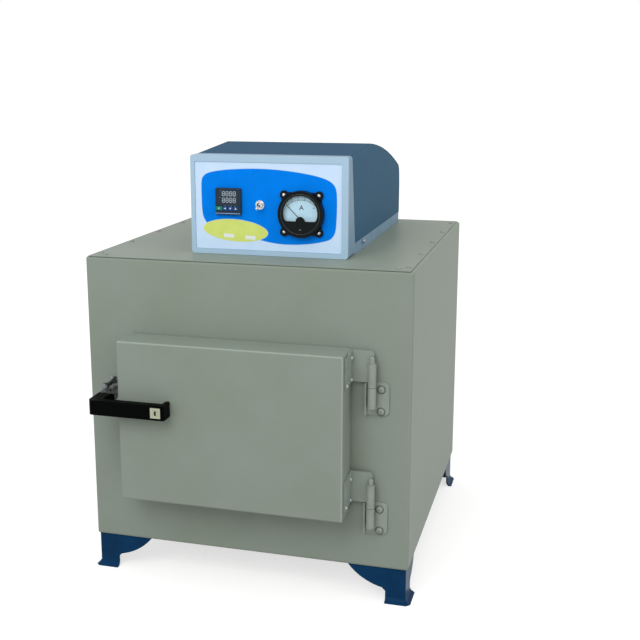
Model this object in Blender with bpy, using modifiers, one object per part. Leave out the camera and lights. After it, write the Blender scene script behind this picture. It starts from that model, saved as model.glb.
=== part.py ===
# Electric resistance furnace: a sheet-metal cabinet with a swing door, and a controller on its roof.
# Metres, +Z up. X = 0 is the middle of the cabinet, Z = 0 the floor, and -Y the front.

import math

import bmesh
import bpy
from mathutils import Matrix, Vector

COLLECTION = "electric_resistance_furnace"

# Gaps between pieces
GAP = 0.0003
LOOSE_GAP = 0.001
OVERRUN = 0.004
WELD = 0.00001
FINE_EDGE = 0.0006
ROUND_PROFILE_SHARE = 0.5
FACING_SHARE = 0.9

# Cabinet
CABINET_W = 0.600
CABINET_D = 0.6148
CABINET_H = 0.5398
SHEET_T = 0.0015
CABINET_EDGE_R = 0.004
TOP_FLANGE = 0.026
REAR_FLANGE = 0.022
TOP_PANEL_MARGIN = 0.006
VENT_W = 0.060
VENT_H = 0.005
VENT_PITCH = 0.014
VENT_ROWS = 5
VENT_COLUMN_GAP = 0.100

# Legs
LEG_H = 0.065
LEG_INSET = 0.004
LEG_T = 0.003
LEG_W = 0.037
LEG_WING = 0.106
LEG_SIDE_W = 0.047
LEG_SIDE_WING = 0.090
LEG_NECK_Z = 0.026
LEG_NECK_R = 0.006
LEG_WING_SAG = 0.0065
LEG_WING_STEPS = 10
TOE_Z = 0.0105
TOE_R = 0.009
TOE_DEG = 60.0
TOE_STEPS = 3
TOE_CORNER_CUT = 0.007
LEG_FLANGE = 0.060
LEG_FLANGE_CHAMFER = 0.035

# Heating chamber
CHAMBER_W = 0.200
CHAMBER_H = 0.120
CHAMBER_D = 0.300
MUFFLE_T = 0.025
MOUTH_D = 0.040
INSULATION_SIDE = 0.012
REAR_SPACE = 0.133
GROOVE_R = 0.009
GROOVE_Z = 0.030
ELEMENT_LEAD_R = 0.003
ELEMENT_TAIL = 0.030
HEARTH_T = 0.010
THERMOCOUPLE_R = 0.004
THERMOCOUPLE_Z = 0.048
THERMOCOUPLE_REACH = 0.060
THERMOCOUPLE_HEAD_R = 0.018
THERMOCOUPLE_HEAD_D = 0.030
TERMINAL_BLOCK_T = 0.022
TERMINAL_BLOCK_W = 0.260
TERMINAL_BLOCK_H = 0.024
GLAND_R = 0.012
GLAND_NUT_R = 0.016
GLAND_NUT_D = 0.006
GLAND_D = 0.018
GLAND_BORE_R = 0.006
GLAND_INSET = 0.100
GLAND_Z = 0.120

# Door
DOOR_W = 0.409
DOOR_H = 0.2935
DOOR_D = 0.0635
DOOR_X = -0.0095
DOOR_LIFT = 0.1085
DOOR_BACK = 0.0046
DOOR_EDGE_R = 0.0025
DOOR_PLUG_D = 0.0075
DOOR_PLUG_GAP = 0.004
SEAL_W = 0.014
SEAL_MARGIN = 0.006

# Hinges
HINGE_SETOFF = 0.039
HINGE_Y = 0.015
HINGE_SPLIT = 0.2295
HINGE_DROP = 0.219
KNUCKLE_R = 0.00725
KNUCKLE_SEAM = 0.0008
ARM_KNUCKLE_H = 0.0425
LEAF_KNUCKLE_H = 0.0370
PIN_R = 0.0045
PIN_GAP = 0.0002
PIN_TOP = 0.054
PIN_CROWN = 0.002
ARM_T = 0.003
ARM_PAST_PIN = 0.002
ARM_LOW = 0.0072
ARM_HIGH = 0.063
ARM_PLATE_Y = 0.0065
ARM_CORNER_R = 0.007
ARM_WING_FRONT = 0.033
ARM_TONGUE_FRONT = 0.055
ARM_TONGUE_T = 0.0015
ARM_TONGUE_MARGIN = 0.005
LEAF_T = 0.003
LEAF_W = 0.040
LEAF_LOW = 0.052
LEAF_HIGH = 0.0065
LEAF_CORNER_R = 0.008
LEAF_LEFT = 0.012
STRIP_DROP = 0.0510
STRIP_Y = 0.011
LEAF_SCREW_R = 0.0063
LEAF_SCREW_H = 0.0042
LEAF_SCREW_SHANK_R = 0.002
LEAF_SCREW_EDGE = 0.014
LEAF_SCREW_Z = 0.0062
SCREW_SLOT_W = 0.0012
SCREW_SLOT_L = 0.0064
SCREW_SLOT_D = 0.0012

# Latch
LATCH_PIVOT_X = 0.0290
LATCH_PIVOT_Y = 0.046
LEVER_LOW = 0.165
LEVER_H = 0.027
LEVER_FRONT = 0.0985
LEVER_BAR_T = 0.0135
LEVER_LEG_W = 0.024
LEVER_L = 0.144
LEVER_LEG_BACK = 0.0075
LEVER_OVERHANG = 0.003
LEVER_CORNER_R = 0.008
LEVER_REAR_R = 0.011
LEVER_END_T = 0.008
LEVER_END_R = 0.002
LEVER_DOOR_GAP = 0.0015
LEVER_EDGE_R = 0.0022
LATCH_PIN_R = 0.003
LATCH_PIN_HEAD_R = 0.0055
LATCH_PIN_HEAD_H = 0.002
BRACKET_T = 0.003
BRACKET_SHELF_W = 0.022
BRACKET_SHELF_D = 0.018
BRACKET_SIDE_D = 0.043
BRACKET_TAB_H = 0.0165
BRACKET_TAB_REACH = 0.0082
BRACKET_TAB_Y = 0.0145
BOLT_R = 0.004
BOLT_Z = 0.0135
BOLT_HEAD_R = 0.0065
BOLT_HEAD_H = 0.005
BOLT_FRONT = 0.060
BOLT_BACK = 0.008
NUT_R = 0.0075
NUT_H = 0.0065
LOCK_PLATE_W = 0.0185
LOCK_PLATE_T = 0.001
LOCK_PLATE_INSET = 0.0065
LOCK_R = 0.0055
LOCK_D = 0.009
LOCK_PROUD = 0.0005
KEYHOLE_W = 0.0024
KEYHOLE_H = 0.0085
KEYHOLE_D = 0.004
KEEPER_W = 0.024
KEEPER_D = 0.030
KEEPER_T = 0.004
KEEPER_FOOT_W = 0.016

# Controller case
CASE_W = 0.292
CASE_H = 0.179
CASE_D = 0.5045
CASE_X = 0.0234
CASE_FRONT = 0.0757
CASE_T = 0.0025
BEZEL_D = 0.058
BEZEL_LEAN = 0.028
BEZEL_BORDER_TOP = 0.0125
BEZEL_BORDER_FOOT = 0.0095
BEZEL_BORDER_LEFT = 0.0085
BEZEL_BORDER_RIGHT = 0.0120
BEZEL_R = 0.005
BEZEL_CORNER_R = 0.0052
PANEL_T = 0.002
PANEL_RECESS = 0.0015
PANEL_CORNER_R = 0.0025
BASE_H = 0.020
HOOD_FRONT_H = 0.1785
HOOD_PEAK_H = 0.1895
HOOD_BACK_H = 0.122
HOOD_PEAK_Y = 0.141
HOOD_BACK_R = 0.022
HOOD_EDGE_R = 0.0035
HOOD_STEPS = 10
HOOD_SLOPE_SHARE = 0.35
LUG_Y = 0.118
LUG_R = 0.005
LUG_T = 0.004
ELECTRONICS_X = 0.073
TRANSFORMER_SIZE = 0.060
TRANSFORMER_COIL_R = 0.024
TRANSFORMER_COIL_PROUD = 0.015
HEAT_SINK_W = 0.080
HEAT_SINK_H = 0.050
HEAT_SINK_D = 0.090
HEAT_SINK_FOOT = 0.008
FIN_T = 0.004
FIN_COUNT = 6

# Temperature controller
TC_W = 0.048
TC_BODY_W = 0.0445
TC_BODY_D = 0.070
TC_FRONT_D = 0.008
TC_X = 0.0729
TC_Z = 0.0967
TC_EDGE_R = 0.0015
DISPLAY_W = 0.040
DISPLAY_H = 0.0275
DISPLAY_T = 0.0015
DISPLAY_RISE = 0.0070
KEY_W = 0.0088
KEY_SET_EXTRA = 0.0030
KEY_H = 0.0072
KEY_D = 0.0030
KEY_PROUD = 0.0012
KEY_PITCH = 0.0100
KEY_DROP = 0.0122
KEY_SHIFT = -0.0001
KEY_TRAVEL = 0.0006
KEY_COUNT = 4

# Ammeter
METER_X = 0.2082
METER_Z = 0.0783
METER_R = 0.0415
METER_FLANGE_D = 0.012
METER_EAR_PITCH_X = 0.0636
METER_EAR_PITCH_Z = 0.0660
METER_EAR_R = 0.0078
METER_EAR_T = 0.004
METER_PLATE_MARGIN = 0.0047
METER_PLATE_R = 0.006
METER_BARREL_R = 0.031
METER_BARREL_D = 0.040
METER_CAVITY_R = 0.0355
METER_CAVITY_D = 0.010
METER_COVER_T = 0.002
METER_DIAL_T = 0.001
METER_PIVOT_DROP = 0.0118
NEEDLE_L = 0.037
NEEDLE_W = 0.0010
NEEDLE_T = 0.0006
NEEDLE_HUB_R = 0.0035
NEEDLE_HUB_T = 0.0020
NEEDLE_ZERO_DEG = 45.0
ZERO_R = 0.0035
ZERO_DROP = 0.0270
ZERO_PROUD = 0.0008
ZERO_D = 0.0035

# Toggle switch
TOGGLE_X = 0.1314
TOGGLE_Z = 0.0919
TOGGLE_NUT_R = 0.0088
TOGGLE_NUT_D = 0.003
TOGGLE_NECK_R = 0.0058
TOGGLE_NECK_D = 0.010
TOGGLE_BORE_R = 0.0038
TOGGLE_BODY_W = 0.014
TOGGLE_BODY_H = 0.028
TOGGLE_BODY_D = 0.022
TOGGLE_STICK_R = 0.0014
TOGGLE_TIP_R = 0.0028
TOGGLE_STICK_L = 0.020
TOGGLE_TILT_DEG = 14.0
TOGGLE_BALL_STEPS = 4

# Places worked out from the sizes above
FRONT_REACH = LEVER_FRONT + GAP + LOCK_PLATE_T + LOCK_PROUD
TOE_TURN = math.radians(TOE_DEG)
TOE_REACH = TOE_R * (1 - math.cos(TOE_TURN)) + (TOE_Z - TOE_R * math.sin(TOE_TURN)) * math.tan(TOE_TURN)
REAR_REACH = CABINET_D + TOE_REACH - LEG_INSET
FRONT = (FRONT_REACH - REAR_REACH) / 2
FLOOR = LEG_H
LEFT = -CABINET_W / 2
RIGHT = CABINET_W / 2
BACK = FRONT + CABINET_D
SHELL_BACK = BACK - SHEET_T - GAP
SHELL_TOP = FLOOR + CABINET_H - SHEET_T - GAP
ROOF = FLOOR + CABINET_H

DOOR_LEFT = DOOR_X - DOOR_W / 2
DOOR_RIGHT = DOOR_X + DOOR_W / 2
DOOR_LOW = FLOOR + DOOR_LIFT
DOOR_TOP = DOOR_LOW + DOOR_H
DOOR_REAR = FRONT - DOOR_BACK
DOOR_FRONT = DOOR_REAR - DOOR_D
CHAMBER_Z = (DOOR_LOW + DOOR_TOP) / 2

MUFFLE_W = CHAMBER_W + 2 * MUFFLE_T
MUFFLE_H = CHAMBER_H + 2 * MUFFLE_T
MOUTH_BACK = FRONT + MOUTH_D
MUFFLE_FRONT = MOUTH_BACK + GAP
CHAMBER_BACK = MUFFLE_FRONT + CHAMBER_D
MUFFLE_BACK = CHAMBER_BACK + MUFFLE_T
INSULATION_FRONT = FRONT + SHEET_T + GAP
INSULATION_BACK = BACK - REAR_SPACE
GLAND_X = RIGHT - GLAND_INSET

HINGE_X = DOOR_RIGHT + HINGE_SETOFF
HINGE_AXIS = Vector((HINGE_X, FRONT - HINGE_Y, 0))
UPPER_SPLIT = DOOR_LOW + HINGE_SPLIT
LOWER_SPLIT = UPPER_SPLIT - HINGE_DROP

PIVOT = Vector((DOOR_LEFT - LATCH_PIVOT_X, FRONT - LATCH_PIVOT_Y, DOOR_LOW + LEVER_LOW))
LEVER_TOP = PIVOT.z + LEVER_H
LEVER_LEFT = PIVOT.x - LEVER_LEG_W / 2 - LEVER_OVERHANG
LEVER_RIGHT = LEVER_LEFT + LEVER_L
LEVER_FACE = FRONT - LEVER_FRONT
LOCK_X = LEVER_RIGHT - LOCK_PLATE_INSET - LOCK_PLATE_W / 2
LOCK_Z = PIVOT.z + LEVER_H / 2

CASE_LEFT = CASE_X - CASE_W / 2
CASE_RIGHT = CASE_X + CASE_W / 2
CASE_LOW = ROOF + GAP
CASE_FACE = FRONT + CASE_FRONT
PANEL_FACE = CASE_FACE + PANEL_RECESS
PANEL_BACK = PANEL_FACE + PANEL_T
HOOD_FRONT = CASE_FACE + BEZEL_D + GAP
CASE_BACK = HOOD_FRONT + CASE_D - BEZEL_D
HOOD_LOW = CASE_LOW + BASE_H + GAP

MATERIALS = {}


def clearScene():
    for item in list(bpy.data.objects):
        bpy.data.objects.remove(item, do_unlink=True)


def makeCollection(name):
    made = bpy.data.collections.new(name)
    bpy.context.scene.collection.children.link(made)
    return made


def material(name, colour, roughness, metallic=0.0, alpha=1.0):
    made = bpy.data.materials.new(name)
    made.use_nodes = True
    shader = made.node_tree.nodes["Principled BSDF"]
    shader.inputs["Base Color"].default_value = (*colour, 1.0)
    shader.inputs["Roughness"].default_value = roughness
    shader.inputs["Metallic"].default_value = metallic
    shader.inputs["Alpha"].default_value = alpha
    MATERIALS[name] = made


def makeMaterials():
    material("cabinet paint", (0.25, 0.29, 0.25), 0.5)
    material("leg paint", (0.009, 0.036, 0.10), 0.4)
    material("firebrick", (0.72, 0.66, 0.55), 0.95)
    material("ceramic fibre", (0.85, 0.84, 0.80), 1.0)
    material("heating alloy", (0.20, 0.18, 0.16), 0.6, 1.0)
    material("glazed ceramic", (0.82, 0.80, 0.74), 0.3)
    material("stainless", (0.55, 0.55, 0.53), 0.35, 1.0)
    material("seal rope", (0.80, 0.78, 0.70), 1.0)
    material("chrome", (0.70, 0.71, 0.72), 0.12, 1.0)
    material("black plastic", (0.008, 0.008, 0.008), 0.35)
    material("lock brass", (0.55, 0.55, 0.38), 0.3, 1.0)
    material("case blue", (0.055, 0.115, 0.18), 0.45)
    material("case grey", (0.43, 0.60, 0.72), 0.4)
    material("panel film", (0.50, 0.66, 0.90), 0.35)
    material("display window", (0.02, 0.02, 0.02), 0.1)
    material("key rubber", (0.30, 0.32, 0.33), 0.6)
    material("key green", (0.05, 0.45, 0.20), 0.6)
    material("dial card", (0.80, 0.84, 0.86), 0.6)
    material("clear cover", (0.90, 0.93, 0.95), 0.05, 0.0, 0.35)
    material("needle paint", (0.02, 0.02, 0.02), 0.5)
    material("copper winding", (0.60, 0.25, 0.12), 0.4, 1.0)
    material("heat sink", (0.60, 0.60, 0.62), 0.4, 1.0)


def addObject(name, mesh, helper=False):
    thing = bpy.data.objects.new(name, mesh)
    if helper:
        CUTTERS.objects.link(thing)
        thing.hide_render = True
        thing.display_type = "WIRE"
    else:
        PARTS.objects.link(thing)
    return thing


def finish(name, bm, helper=False):
    mesh = bpy.data.meshes.new(name)
    bm.to_mesh(mesh)
    bm.free()
    return addObject(name, mesh, helper)


def boxCorners(bm, x, y, z):
    size = Matrix.Diagonal((x[1] - x[0], y[1] - y[0], z[1] - z[0], 1))
    middle = Matrix.Translation(((x[0] + x[1]) / 2, (y[0] + y[1]) / 2, (z[0] + z[1]) / 2))
    bmesh.ops.create_cube(bm, size=1, matrix=middle @ size)


def box(name, x, y, z, helper=False):
    bm = bmesh.new()
    boxCorners(bm, x, y, z)
    return finish(name, bm, helper)


def rod(name, radius, start, end, helper=False, segments=24, endRadius=None):
    way = Vector(end) - Vector(start)
    turn = way.to_track_quat("Z", "Y").to_matrix().to_4x4()
    middle = Matrix.Translation((Vector(start) + Vector(end)) / 2)
    bm = bmesh.new()
    bmesh.ops.create_cone(bm, cap_ends=True, segments=segments, radius1=radius,
                          radius2=radius if endRadius is None else endRadius,
                          depth=way.length, matrix=middle @ turn)
    made = finish(name, bm, helper)
    smooth(made)
    return made


def rounded(corners, steps=5):
    points = []
    count = len(corners)
    for index, (x, y, radius) in enumerate(corners):
        here = Vector((x, y))
        if not radius:
            points.append(here)
            continue
        before = (Vector(corners[index - 1][:2]) - here).normalized()
        after = (Vector(corners[(index + 1) % count][:2]) - here).normalized()
        half = before.angle(after) / 2
        centre = here + (before + after).normalized() * radius / math.sin(half)
        start = here + before * radius / math.tan(half) - centre
        end = here + after * radius / math.tan(half) - centre
        sweep = start.angle_signed(end)
        for step in range(steps + 1):
            turn = Matrix.Rotation(-sweep * step / steps, 2)
            points.append(centre + turn @ start)
    return points


def circlePoints(x, y, radius, segments=32, start=0.0, end=360.0):
    full = end - start >= 360.0
    count = segments if full else segments + 1
    turns = [math.radians(start + (end - start) * step / segments) for step in range(count)]
    return [Vector((x + radius * math.cos(turn), y + radius * math.sin(turn))) for turn in turns]


def stadium(start, end, radius, steps=8):
    heading = math.degrees(math.atan2(end.y - start.y, end.x - start.x))
    return (circlePoints(end.x, end.y, radius, steps, heading - 90, heading + 90)
            + circlePoints(start.x, start.y, radius, steps, heading + 90, heading + 270))


# An outline is drawn in plan for axis Z, in X and Z for axis Y, and in Y and Z for axis X.
AXIS_TURN = {
    "X": Matrix(((0, 0, 1, 0), (1, 0, 0, 0), (0, 1, 0, 0), (0, 0, 0, 1))),
    "Y": Matrix(((1, 0, 0, 0), (0, 0, -1, 0), (0, 1, 0, 0), (0, 0, 0, 1))),
    "Z": Matrix.Identity(4),
}
AXIS_PLACE = {"X": Vector((1, 0, 0)), "Y": Vector((0, 1, 0)), "Z": Vector((0, 0, 1))}


def plate(name, loops, low, high, axis, helper=False):
    curve = bpy.data.curves.new(name, "CURVE")
    curve.dimensions = "2D"
    curve.fill_mode = "BOTH"
    curve.extrude = (high - low) / 2
    for loop in loops:
        spline = curve.splines.new("POLY")
        spline.points.add(len(loop) - 1)
        spline.use_cyclic_u = True
        for point, place in zip(spline.points, loop):
            point.co = (place[0], place[1], 0, 1)
    drawn = bpy.data.objects.new(name, curve)
    bpy.context.scene.collection.objects.link(drawn)
    drawn.matrix_world = Matrix.Translation(AXIS_PLACE[axis] * (low + high) / 2) @ AXIS_TURN[axis]
    bpy.context.view_layer.update()
    evaluated = drawn.evaluated_get(bpy.context.evaluated_depsgraph_get())
    mesh = bpy.data.meshes.new_from_object(evaluated)
    bm = bmesh.new()
    bm.from_mesh(mesh)
    bm.transform(drawn.matrix_world)
    bmesh.ops.remove_doubles(bm, verts=bm.verts, dist=WELD)
    bmesh.ops.recalc_face_normals(bm, faces=bm.faces)
    bpy.data.objects.remove(drawn)
    bpy.data.curves.remove(curve)
    bpy.data.meshes.remove(mesh)
    return finish(name, bm, helper)


def turned(name, profile, place, direction, helper=False, steps=24):
    mesh = bpy.data.meshes.new(name)
    points = [(radius, 0, height) for radius, height in profile]
    mesh.from_pydata(points, [(index, index + 1) for index in range(len(points) - 1)], [])
    made = addObject(name, mesh, helper)
    screw = made.modifiers.new("turn", "SCREW")
    screw.steps = steps
    screw.render_steps = steps
    screw.use_merge_vertices = True
    screw.merge_threshold = WELD
    turn = Vector(direction).to_track_quat("Z", "Y").to_matrix().to_4x4()
    made.matrix_world = Matrix.Translation(place) @ turn
    return made


def smooth(thing, degrees=35):
    thing.data.shade_smooth()
    thing.data.set_sharp_from_angle(angle=math.radians(degrees))


def boolean(target, other, operation):
    step = target.modifiers.new(operation.lower(), "BOOLEAN")
    step.operation = operation
    step.solver = "EXACT"
    step.object = other
    return target


def cut(target, *others):
    for other in others:
        boolean(target, other, "DIFFERENCE")
    return target


def join(target, *others):
    for other in others:
        boolean(target, other, "UNION")
    return target


def soften(target, width, segments=2, degrees=30):
    edge = target.modifiers.new("edges", "BEVEL")
    edge.width = width
    edge.segments = segments
    edge.limit_method = "ANGLE"
    edge.angle_limit = math.radians(degrees)
    return target


def thicken(target, thickness):
    sheet = target.modifiers.new("sheet", "SOLIDIFY")
    sheet.thickness = thickness
    sheet.offset = -1
    sheet.use_even_offset = True
    return target


def paint(thing, name):
    thing.data.materials.clear()
    thing.data.materials.append(MATERIALS[name])
    return thing


def facing(bm, direction):
    return max(bm.faces, key=lambda face: face.normal.dot(direction) * face.calc_area())


def pivotFrame(name, place, parent=None):
    frame = bpy.data.objects.new(name, None)
    PARTS.objects.link(frame)
    if parent:
        frame.parent = parent
        frame.location = place - Vector(parent["place"])
    else:
        frame.location = place
    frame["place"] = tuple(place)
    return frame


def carry(frame, *things):
    for thing in things:
        own = thing.matrix_world.copy()
        thing.parent = frame
        thing.matrix_parent_inverse = Matrix.Translation(-Vector(frame["place"]))
        thing.matrix_basis = own
        for step in thing.modifiers:
            if step.type == "BOOLEAN" and step.object.parent is None:
                carry(frame, step.object)


def makeCabinetShell():
    bm = bmesh.new()
    boxCorners(bm, (LEFT, RIGHT), (FRONT, SHELL_BACK), (FLOOR, SHELL_TOP))
    bmesh.ops.bevel(bm, geom=bm.edges[:], offset=CABINET_EDGE_R, segments=2,
                    profile=ROUND_PROFILE_SHARE, affect="EDGES")
    for direction, flange in ((Vector((0, 0, 1)), TOP_FLANGE), (Vector((0, 1, 0)), REAR_FLANGE)):
        bm.normal_update()
        face = facing(bm, direction)
        bmesh.ops.inset_region(bm, faces=[face], thickness=flange - CABINET_EDGE_R, use_even_offset=True)
        bm.normal_update()
        bmesh.ops.delete(bm, geom=[facing(bm, direction)], context="FACES_ONLY")
    shell = finish("cabinet_shell", bm)
    thicken(shell, SHEET_T)
    mouth = box("mouth cutter", (DOOR_X - MUFFLE_W / 2, DOOR_X + MUFFLE_W / 2),
                (FRONT - OVERRUN, FRONT + 2 * OVERRUN),
                (CHAMBER_Z - MUFFLE_H / 2, CHAMBER_Z + MUFFLE_H / 2), True)
    cut(shell, mouth)
    smooth(shell)
    paint(shell, "cabinet paint")


def makeTopPanel():
    panel = box("top_panel", (LEFT + TOP_PANEL_MARGIN, RIGHT - TOP_PANEL_MARGIN),
                (FRONT + GAP, BACK - SHEET_T - GAP - TOP_PANEL_MARGIN), (ROOF - SHEET_T, ROOF))
    paint(panel, "cabinet paint")


def makeRearCover():
    margin = TOP_PANEL_MARGIN
    cover = box("rear_cover", (LEFT + margin, RIGHT - margin), (BACK - SHEET_T, BACK),
                (FLOOR + margin, SHELL_TOP - margin))
    middle = FLOOR + CABINET_H / 2
    for column in (-1, 1):
        x = column * (VENT_W + VENT_COLUMN_GAP) / 2
        for row in range(VENT_ROWS):
            z = middle + (row - (VENT_ROWS - 1) / 2) * VENT_PITCH
            slot = box(f"vent cutter {column} {row}", (x - VENT_W / 2, x + VENT_W / 2),
                       (BACK - SHEET_T - OVERRUN, BACK + OVERRUN), (z - VENT_H / 2, z + VENT_H / 2), True)
            cut(cover, slot)
    hole = rod("gland hole cutter", GLAND_R + GAP, (GLAND_X, BACK - OVERRUN - SHEET_T, GLAND_Z),
               (GLAND_X, BACK + OVERRUN, GLAND_Z), True)
    cut(cover, hole)
    paint(cover, "cabinet paint")


def makeGland():
    start = (GLAND_X, BACK - GLAND_D, GLAND_Z)
    gland = rod("power_inlet_gland", GLAND_R, start, (GLAND_X, BACK + GLAND_NUT_D, GLAND_Z))
    flange = rod("gland flange", GLAND_NUT_R, (GLAND_X, BACK + GAP, GLAND_Z),
                 (GLAND_X, BACK + GLAND_NUT_D, GLAND_Z), True, segments=6)
    bore = rod("gland bore cutter", GLAND_BORE_R, (GLAND_X, BACK - GLAND_D - OVERRUN, GLAND_Z),
               (GLAND_X, BACK + GLAND_NUT_D + OVERRUN, GLAND_Z), True)
    cut(join(gland, flange), bore)
    paint(gland, "black plastic")


def toeRows():
    rows = [(LEG_H - GAP, 0)]
    for step in range(TOE_STEPS + 1):
        turn = TOE_TURN * step / TOE_STEPS
        rows.append((TOE_Z - TOE_R * math.sin(turn), TOE_R * (1 - math.cos(turn))))
    rows.append((-OVERRUN, TOE_REACH + OVERRUN * math.tan(TOE_TURN)))
    return rows


# The outer face of a leg's sheet, folded round its corner and turned out at the floor.
def legSheet(bm, reachX, reachY):
    rows = toeRows()
    places = (Vector((reachX, 0, rows[0][0])), Vector((0, 0, rows[0][0])), Vector((0, reachY, rows[0][0])))
    verts = [bm.verts.new(place) for place in places]
    edges = [bm.edges.new((verts[index + 1], verts[index])) for index in range(len(verts) - 1)]
    for before, (height, spread) in zip(rows, rows[1:]):
        made = bmesh.ops.extrude_edge_only(bm, edges=edges)["geom"]
        fresh = {item for item in made if isinstance(item, bmesh.types.BMVert)}
        edges = [item for item in made if isinstance(item, bmesh.types.BMEdge) and set(item.verts) <= fresh]
        for vert in fresh:
            if vert.co.x < reachX / 2:
                vert.co.x -= spread - before[1]
            if vert.co.y < reachY / 2:
                vert.co.y -= spread - before[1]
            vert.co.z = height


def arcBetween(start, end, sag, steps):
    chord = end - start
    radius = (chord.length ** 2 / 4 + sag ** 2) / (2 * sag)
    outward = Vector((chord.y, -chord.x)).normalized()
    centre = (start + end) / 2 - outward * (radius - sag)
    sweep = (start - centre).angle_signed(end - centre)
    spoke = start - centre
    return [centre + Matrix.Rotation(-sweep * step / steps, 2) @ spoke for step in range(steps + 1)]


def wingCutterPoints(width, wing):
    low = -2 * OVERRUN
    neck = Vector((width, LEG_NECK_Z - LEG_NECK_R))
    arc = arcBetween(Vector((width + LEG_NECK_R, LEG_NECK_Z)), Vector((wing, LEG_H)),
                     LEG_WING_SAG, LEG_WING_STEPS)
    far = wing + OVERRUN
    return [Vector((width, low)), neck] + arc + [Vector((far, LEG_H)), Vector((far, low))]


def makeLegs():
    reach = 2 * TOE_REACH
    front = (LEG_W, LEG_WING)
    side = (LEG_SIDE_W, LEG_SIDE_WING)
    corners = {
        "leg_front_left": (LEFT + LEG_INSET, FRONT + LEG_INSET, 0, front, side),
        "leg_front_right": (RIGHT - LEG_INSET, FRONT + LEG_INSET, 90, side, front),
        "leg_rear_right": (RIGHT - LEG_INSET, BACK - LEG_INSET, 180, front, side),
        "leg_rear_left": (LEFT + LEG_INSET, BACK - LEG_INSET, 270, side, front),
    }
    for name, (x, y, degrees, alongX, alongY) in corners.items():
        place = Matrix.Translation((x, y, 0)) @ Matrix.Rotation(math.radians(degrees), 4, "Z")
        bm = bmesh.new()
        legSheet(bm, alongX[1], alongY[1])
        leg = finish(name, bm)
        thicken(leg, LEG_T)
        wingX = plate(name + " wing cutter x", [wingCutterPoints(*alongX)], -reach, 2 * LEG_T, "Y", True)
        wingY = plate(name + " wing cutter y", [wingCutterPoints(*alongY)], -reach, 2 * LEG_T, "X", True)
        span = (-reach, 2 * LEG_WING)
        ground = box(name + " floor cutter", span, span, (-reach, 0), True)
        line = TOE_CORNER_CUT - 2 * TOE_REACH
        cornerPoints = [(-reach, -reach), (line + reach, -reach), (-reach, line + reach)]
        corner = plate(name + " toe cutter", [cornerPoints], -OVERRUN, TOE_Z, "Z", True)
        inner = LEG_T / 2
        flangePoints = [(inner, inner), (LEG_FLANGE, inner), (LEG_FLANGE, LEG_FLANGE - LEG_FLANGE_CHAMFER),
                        (LEG_FLANGE - LEG_FLANGE_CHAMFER, LEG_FLANGE), (inner, LEG_FLANGE)]
        flange = plate(name + " flange", [flangePoints], LEG_H - GAP - LEG_T, LEG_H - GAP, "Z", True)
        for helper in (wingX, wingY, ground, corner, flange):
            helper.matrix_world = place
        leg.matrix_world = place
        cut(leg, wingX, wingY, ground, corner)
        join(leg, flange)
        smooth(leg)
        paint(leg, "leg paint")


def makeMouth():
    half = (MUFFLE_W / 2 - GAP, MUFFLE_H / 2 - GAP)
    mouth = box("furnace_mouth", (DOOR_X - half[0], DOOR_X + half[0]), (FRONT, MOUTH_BACK),
                (CHAMBER_Z - half[1], CHAMBER_Z + half[1]))
    throat = box("throat cutter", (DOOR_X - CHAMBER_W / 2, DOOR_X + CHAMBER_W / 2),
                 (FRONT - OVERRUN, MOUTH_BACK + OVERRUN),
                 (CHAMBER_Z - CHAMBER_H / 2, CHAMBER_Z + CHAMBER_H / 2), True)
    cut(mouth, throat)
    paint(mouth, "firebrick")


def elementPlaces():
    return {
        "heating_element_left_upper": (-1, 1),
        "heating_element_left_lower": (-1, -1),
        "heating_element_right_upper": (1, 1),
        "heating_element_right_lower": (1, -1),
    }


def makeMuffle():
    muffle = box("muffle", (DOOR_X - MUFFLE_W / 2, DOOR_X + MUFFLE_W / 2), (MUFFLE_FRONT, MUFFLE_BACK),
                 (CHAMBER_Z - MUFFLE_H / 2, CHAMBER_Z + MUFFLE_H / 2))
    chamber = box("chamber cutter", (DOOR_X - CHAMBER_W / 2, DOOR_X + CHAMBER_W / 2),
                  (MUFFLE_FRONT - OVERRUN, CHAMBER_BACK),
                  (CHAMBER_Z - CHAMBER_H / 2, CHAMBER_Z + CHAMBER_H / 2), True)
    cut(muffle, chamber)
    for name, (side, level) in elementPlaces().items():
        x = DOOR_X + side * CHAMBER_W / 2
        z = CHAMBER_Z + level * GROOVE_Z
        groove = rod(name + " groove cutter", GROOVE_R, (x, MUFFLE_FRONT + MUFFLE_T, z),
                     (x, CHAMBER_BACK + LOOSE_GAP, z), True, segments=16)
        hole = rod(name + " hole cutter", ELEMENT_LEAD_R + GAP, (x, CHAMBER_BACK - OVERRUN, z),
                   (x, INSULATION_BACK + OVERRUN, z), True, segments=12)
        cut(muffle, groove, hole)
    sheath = bpy.data.objects["thermocouple hole cutter"]
    cut(muffle, sheath)
    paint(muffle, "firebrick")


def makeInsulation():
    inside = SHEET_T + GAP + INSULATION_SIDE
    insulation = box("insulation_block", (LEFT + inside, RIGHT - inside), (INSULATION_FRONT, INSULATION_BACK),
                     (FLOOR + SHEET_T + GAP, SHELL_TOP - SHEET_T - GAP - INSULATION_SIDE))
    soften(insulation, CABINET_EDGE_R, 1)
    cavity = box("muffle bed cutter", (DOOR_X - MUFFLE_W / 2 - GAP, DOOR_X + MUFFLE_W / 2 + GAP),
                 (INSULATION_FRONT - OVERRUN, MUFFLE_BACK + GAP),
                 (CHAMBER_Z - MUFFLE_H / 2 - GAP, CHAMBER_Z + MUFFLE_H / 2 + GAP), True)
    cut(insulation, cavity)
    for name in elementPlaces():
        cut(insulation, bpy.data.objects[name + " hole cutter"])
    cut(insulation, bpy.data.objects["thermocouple hole cutter"])
    paint(insulation, "ceramic fibre")


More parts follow.
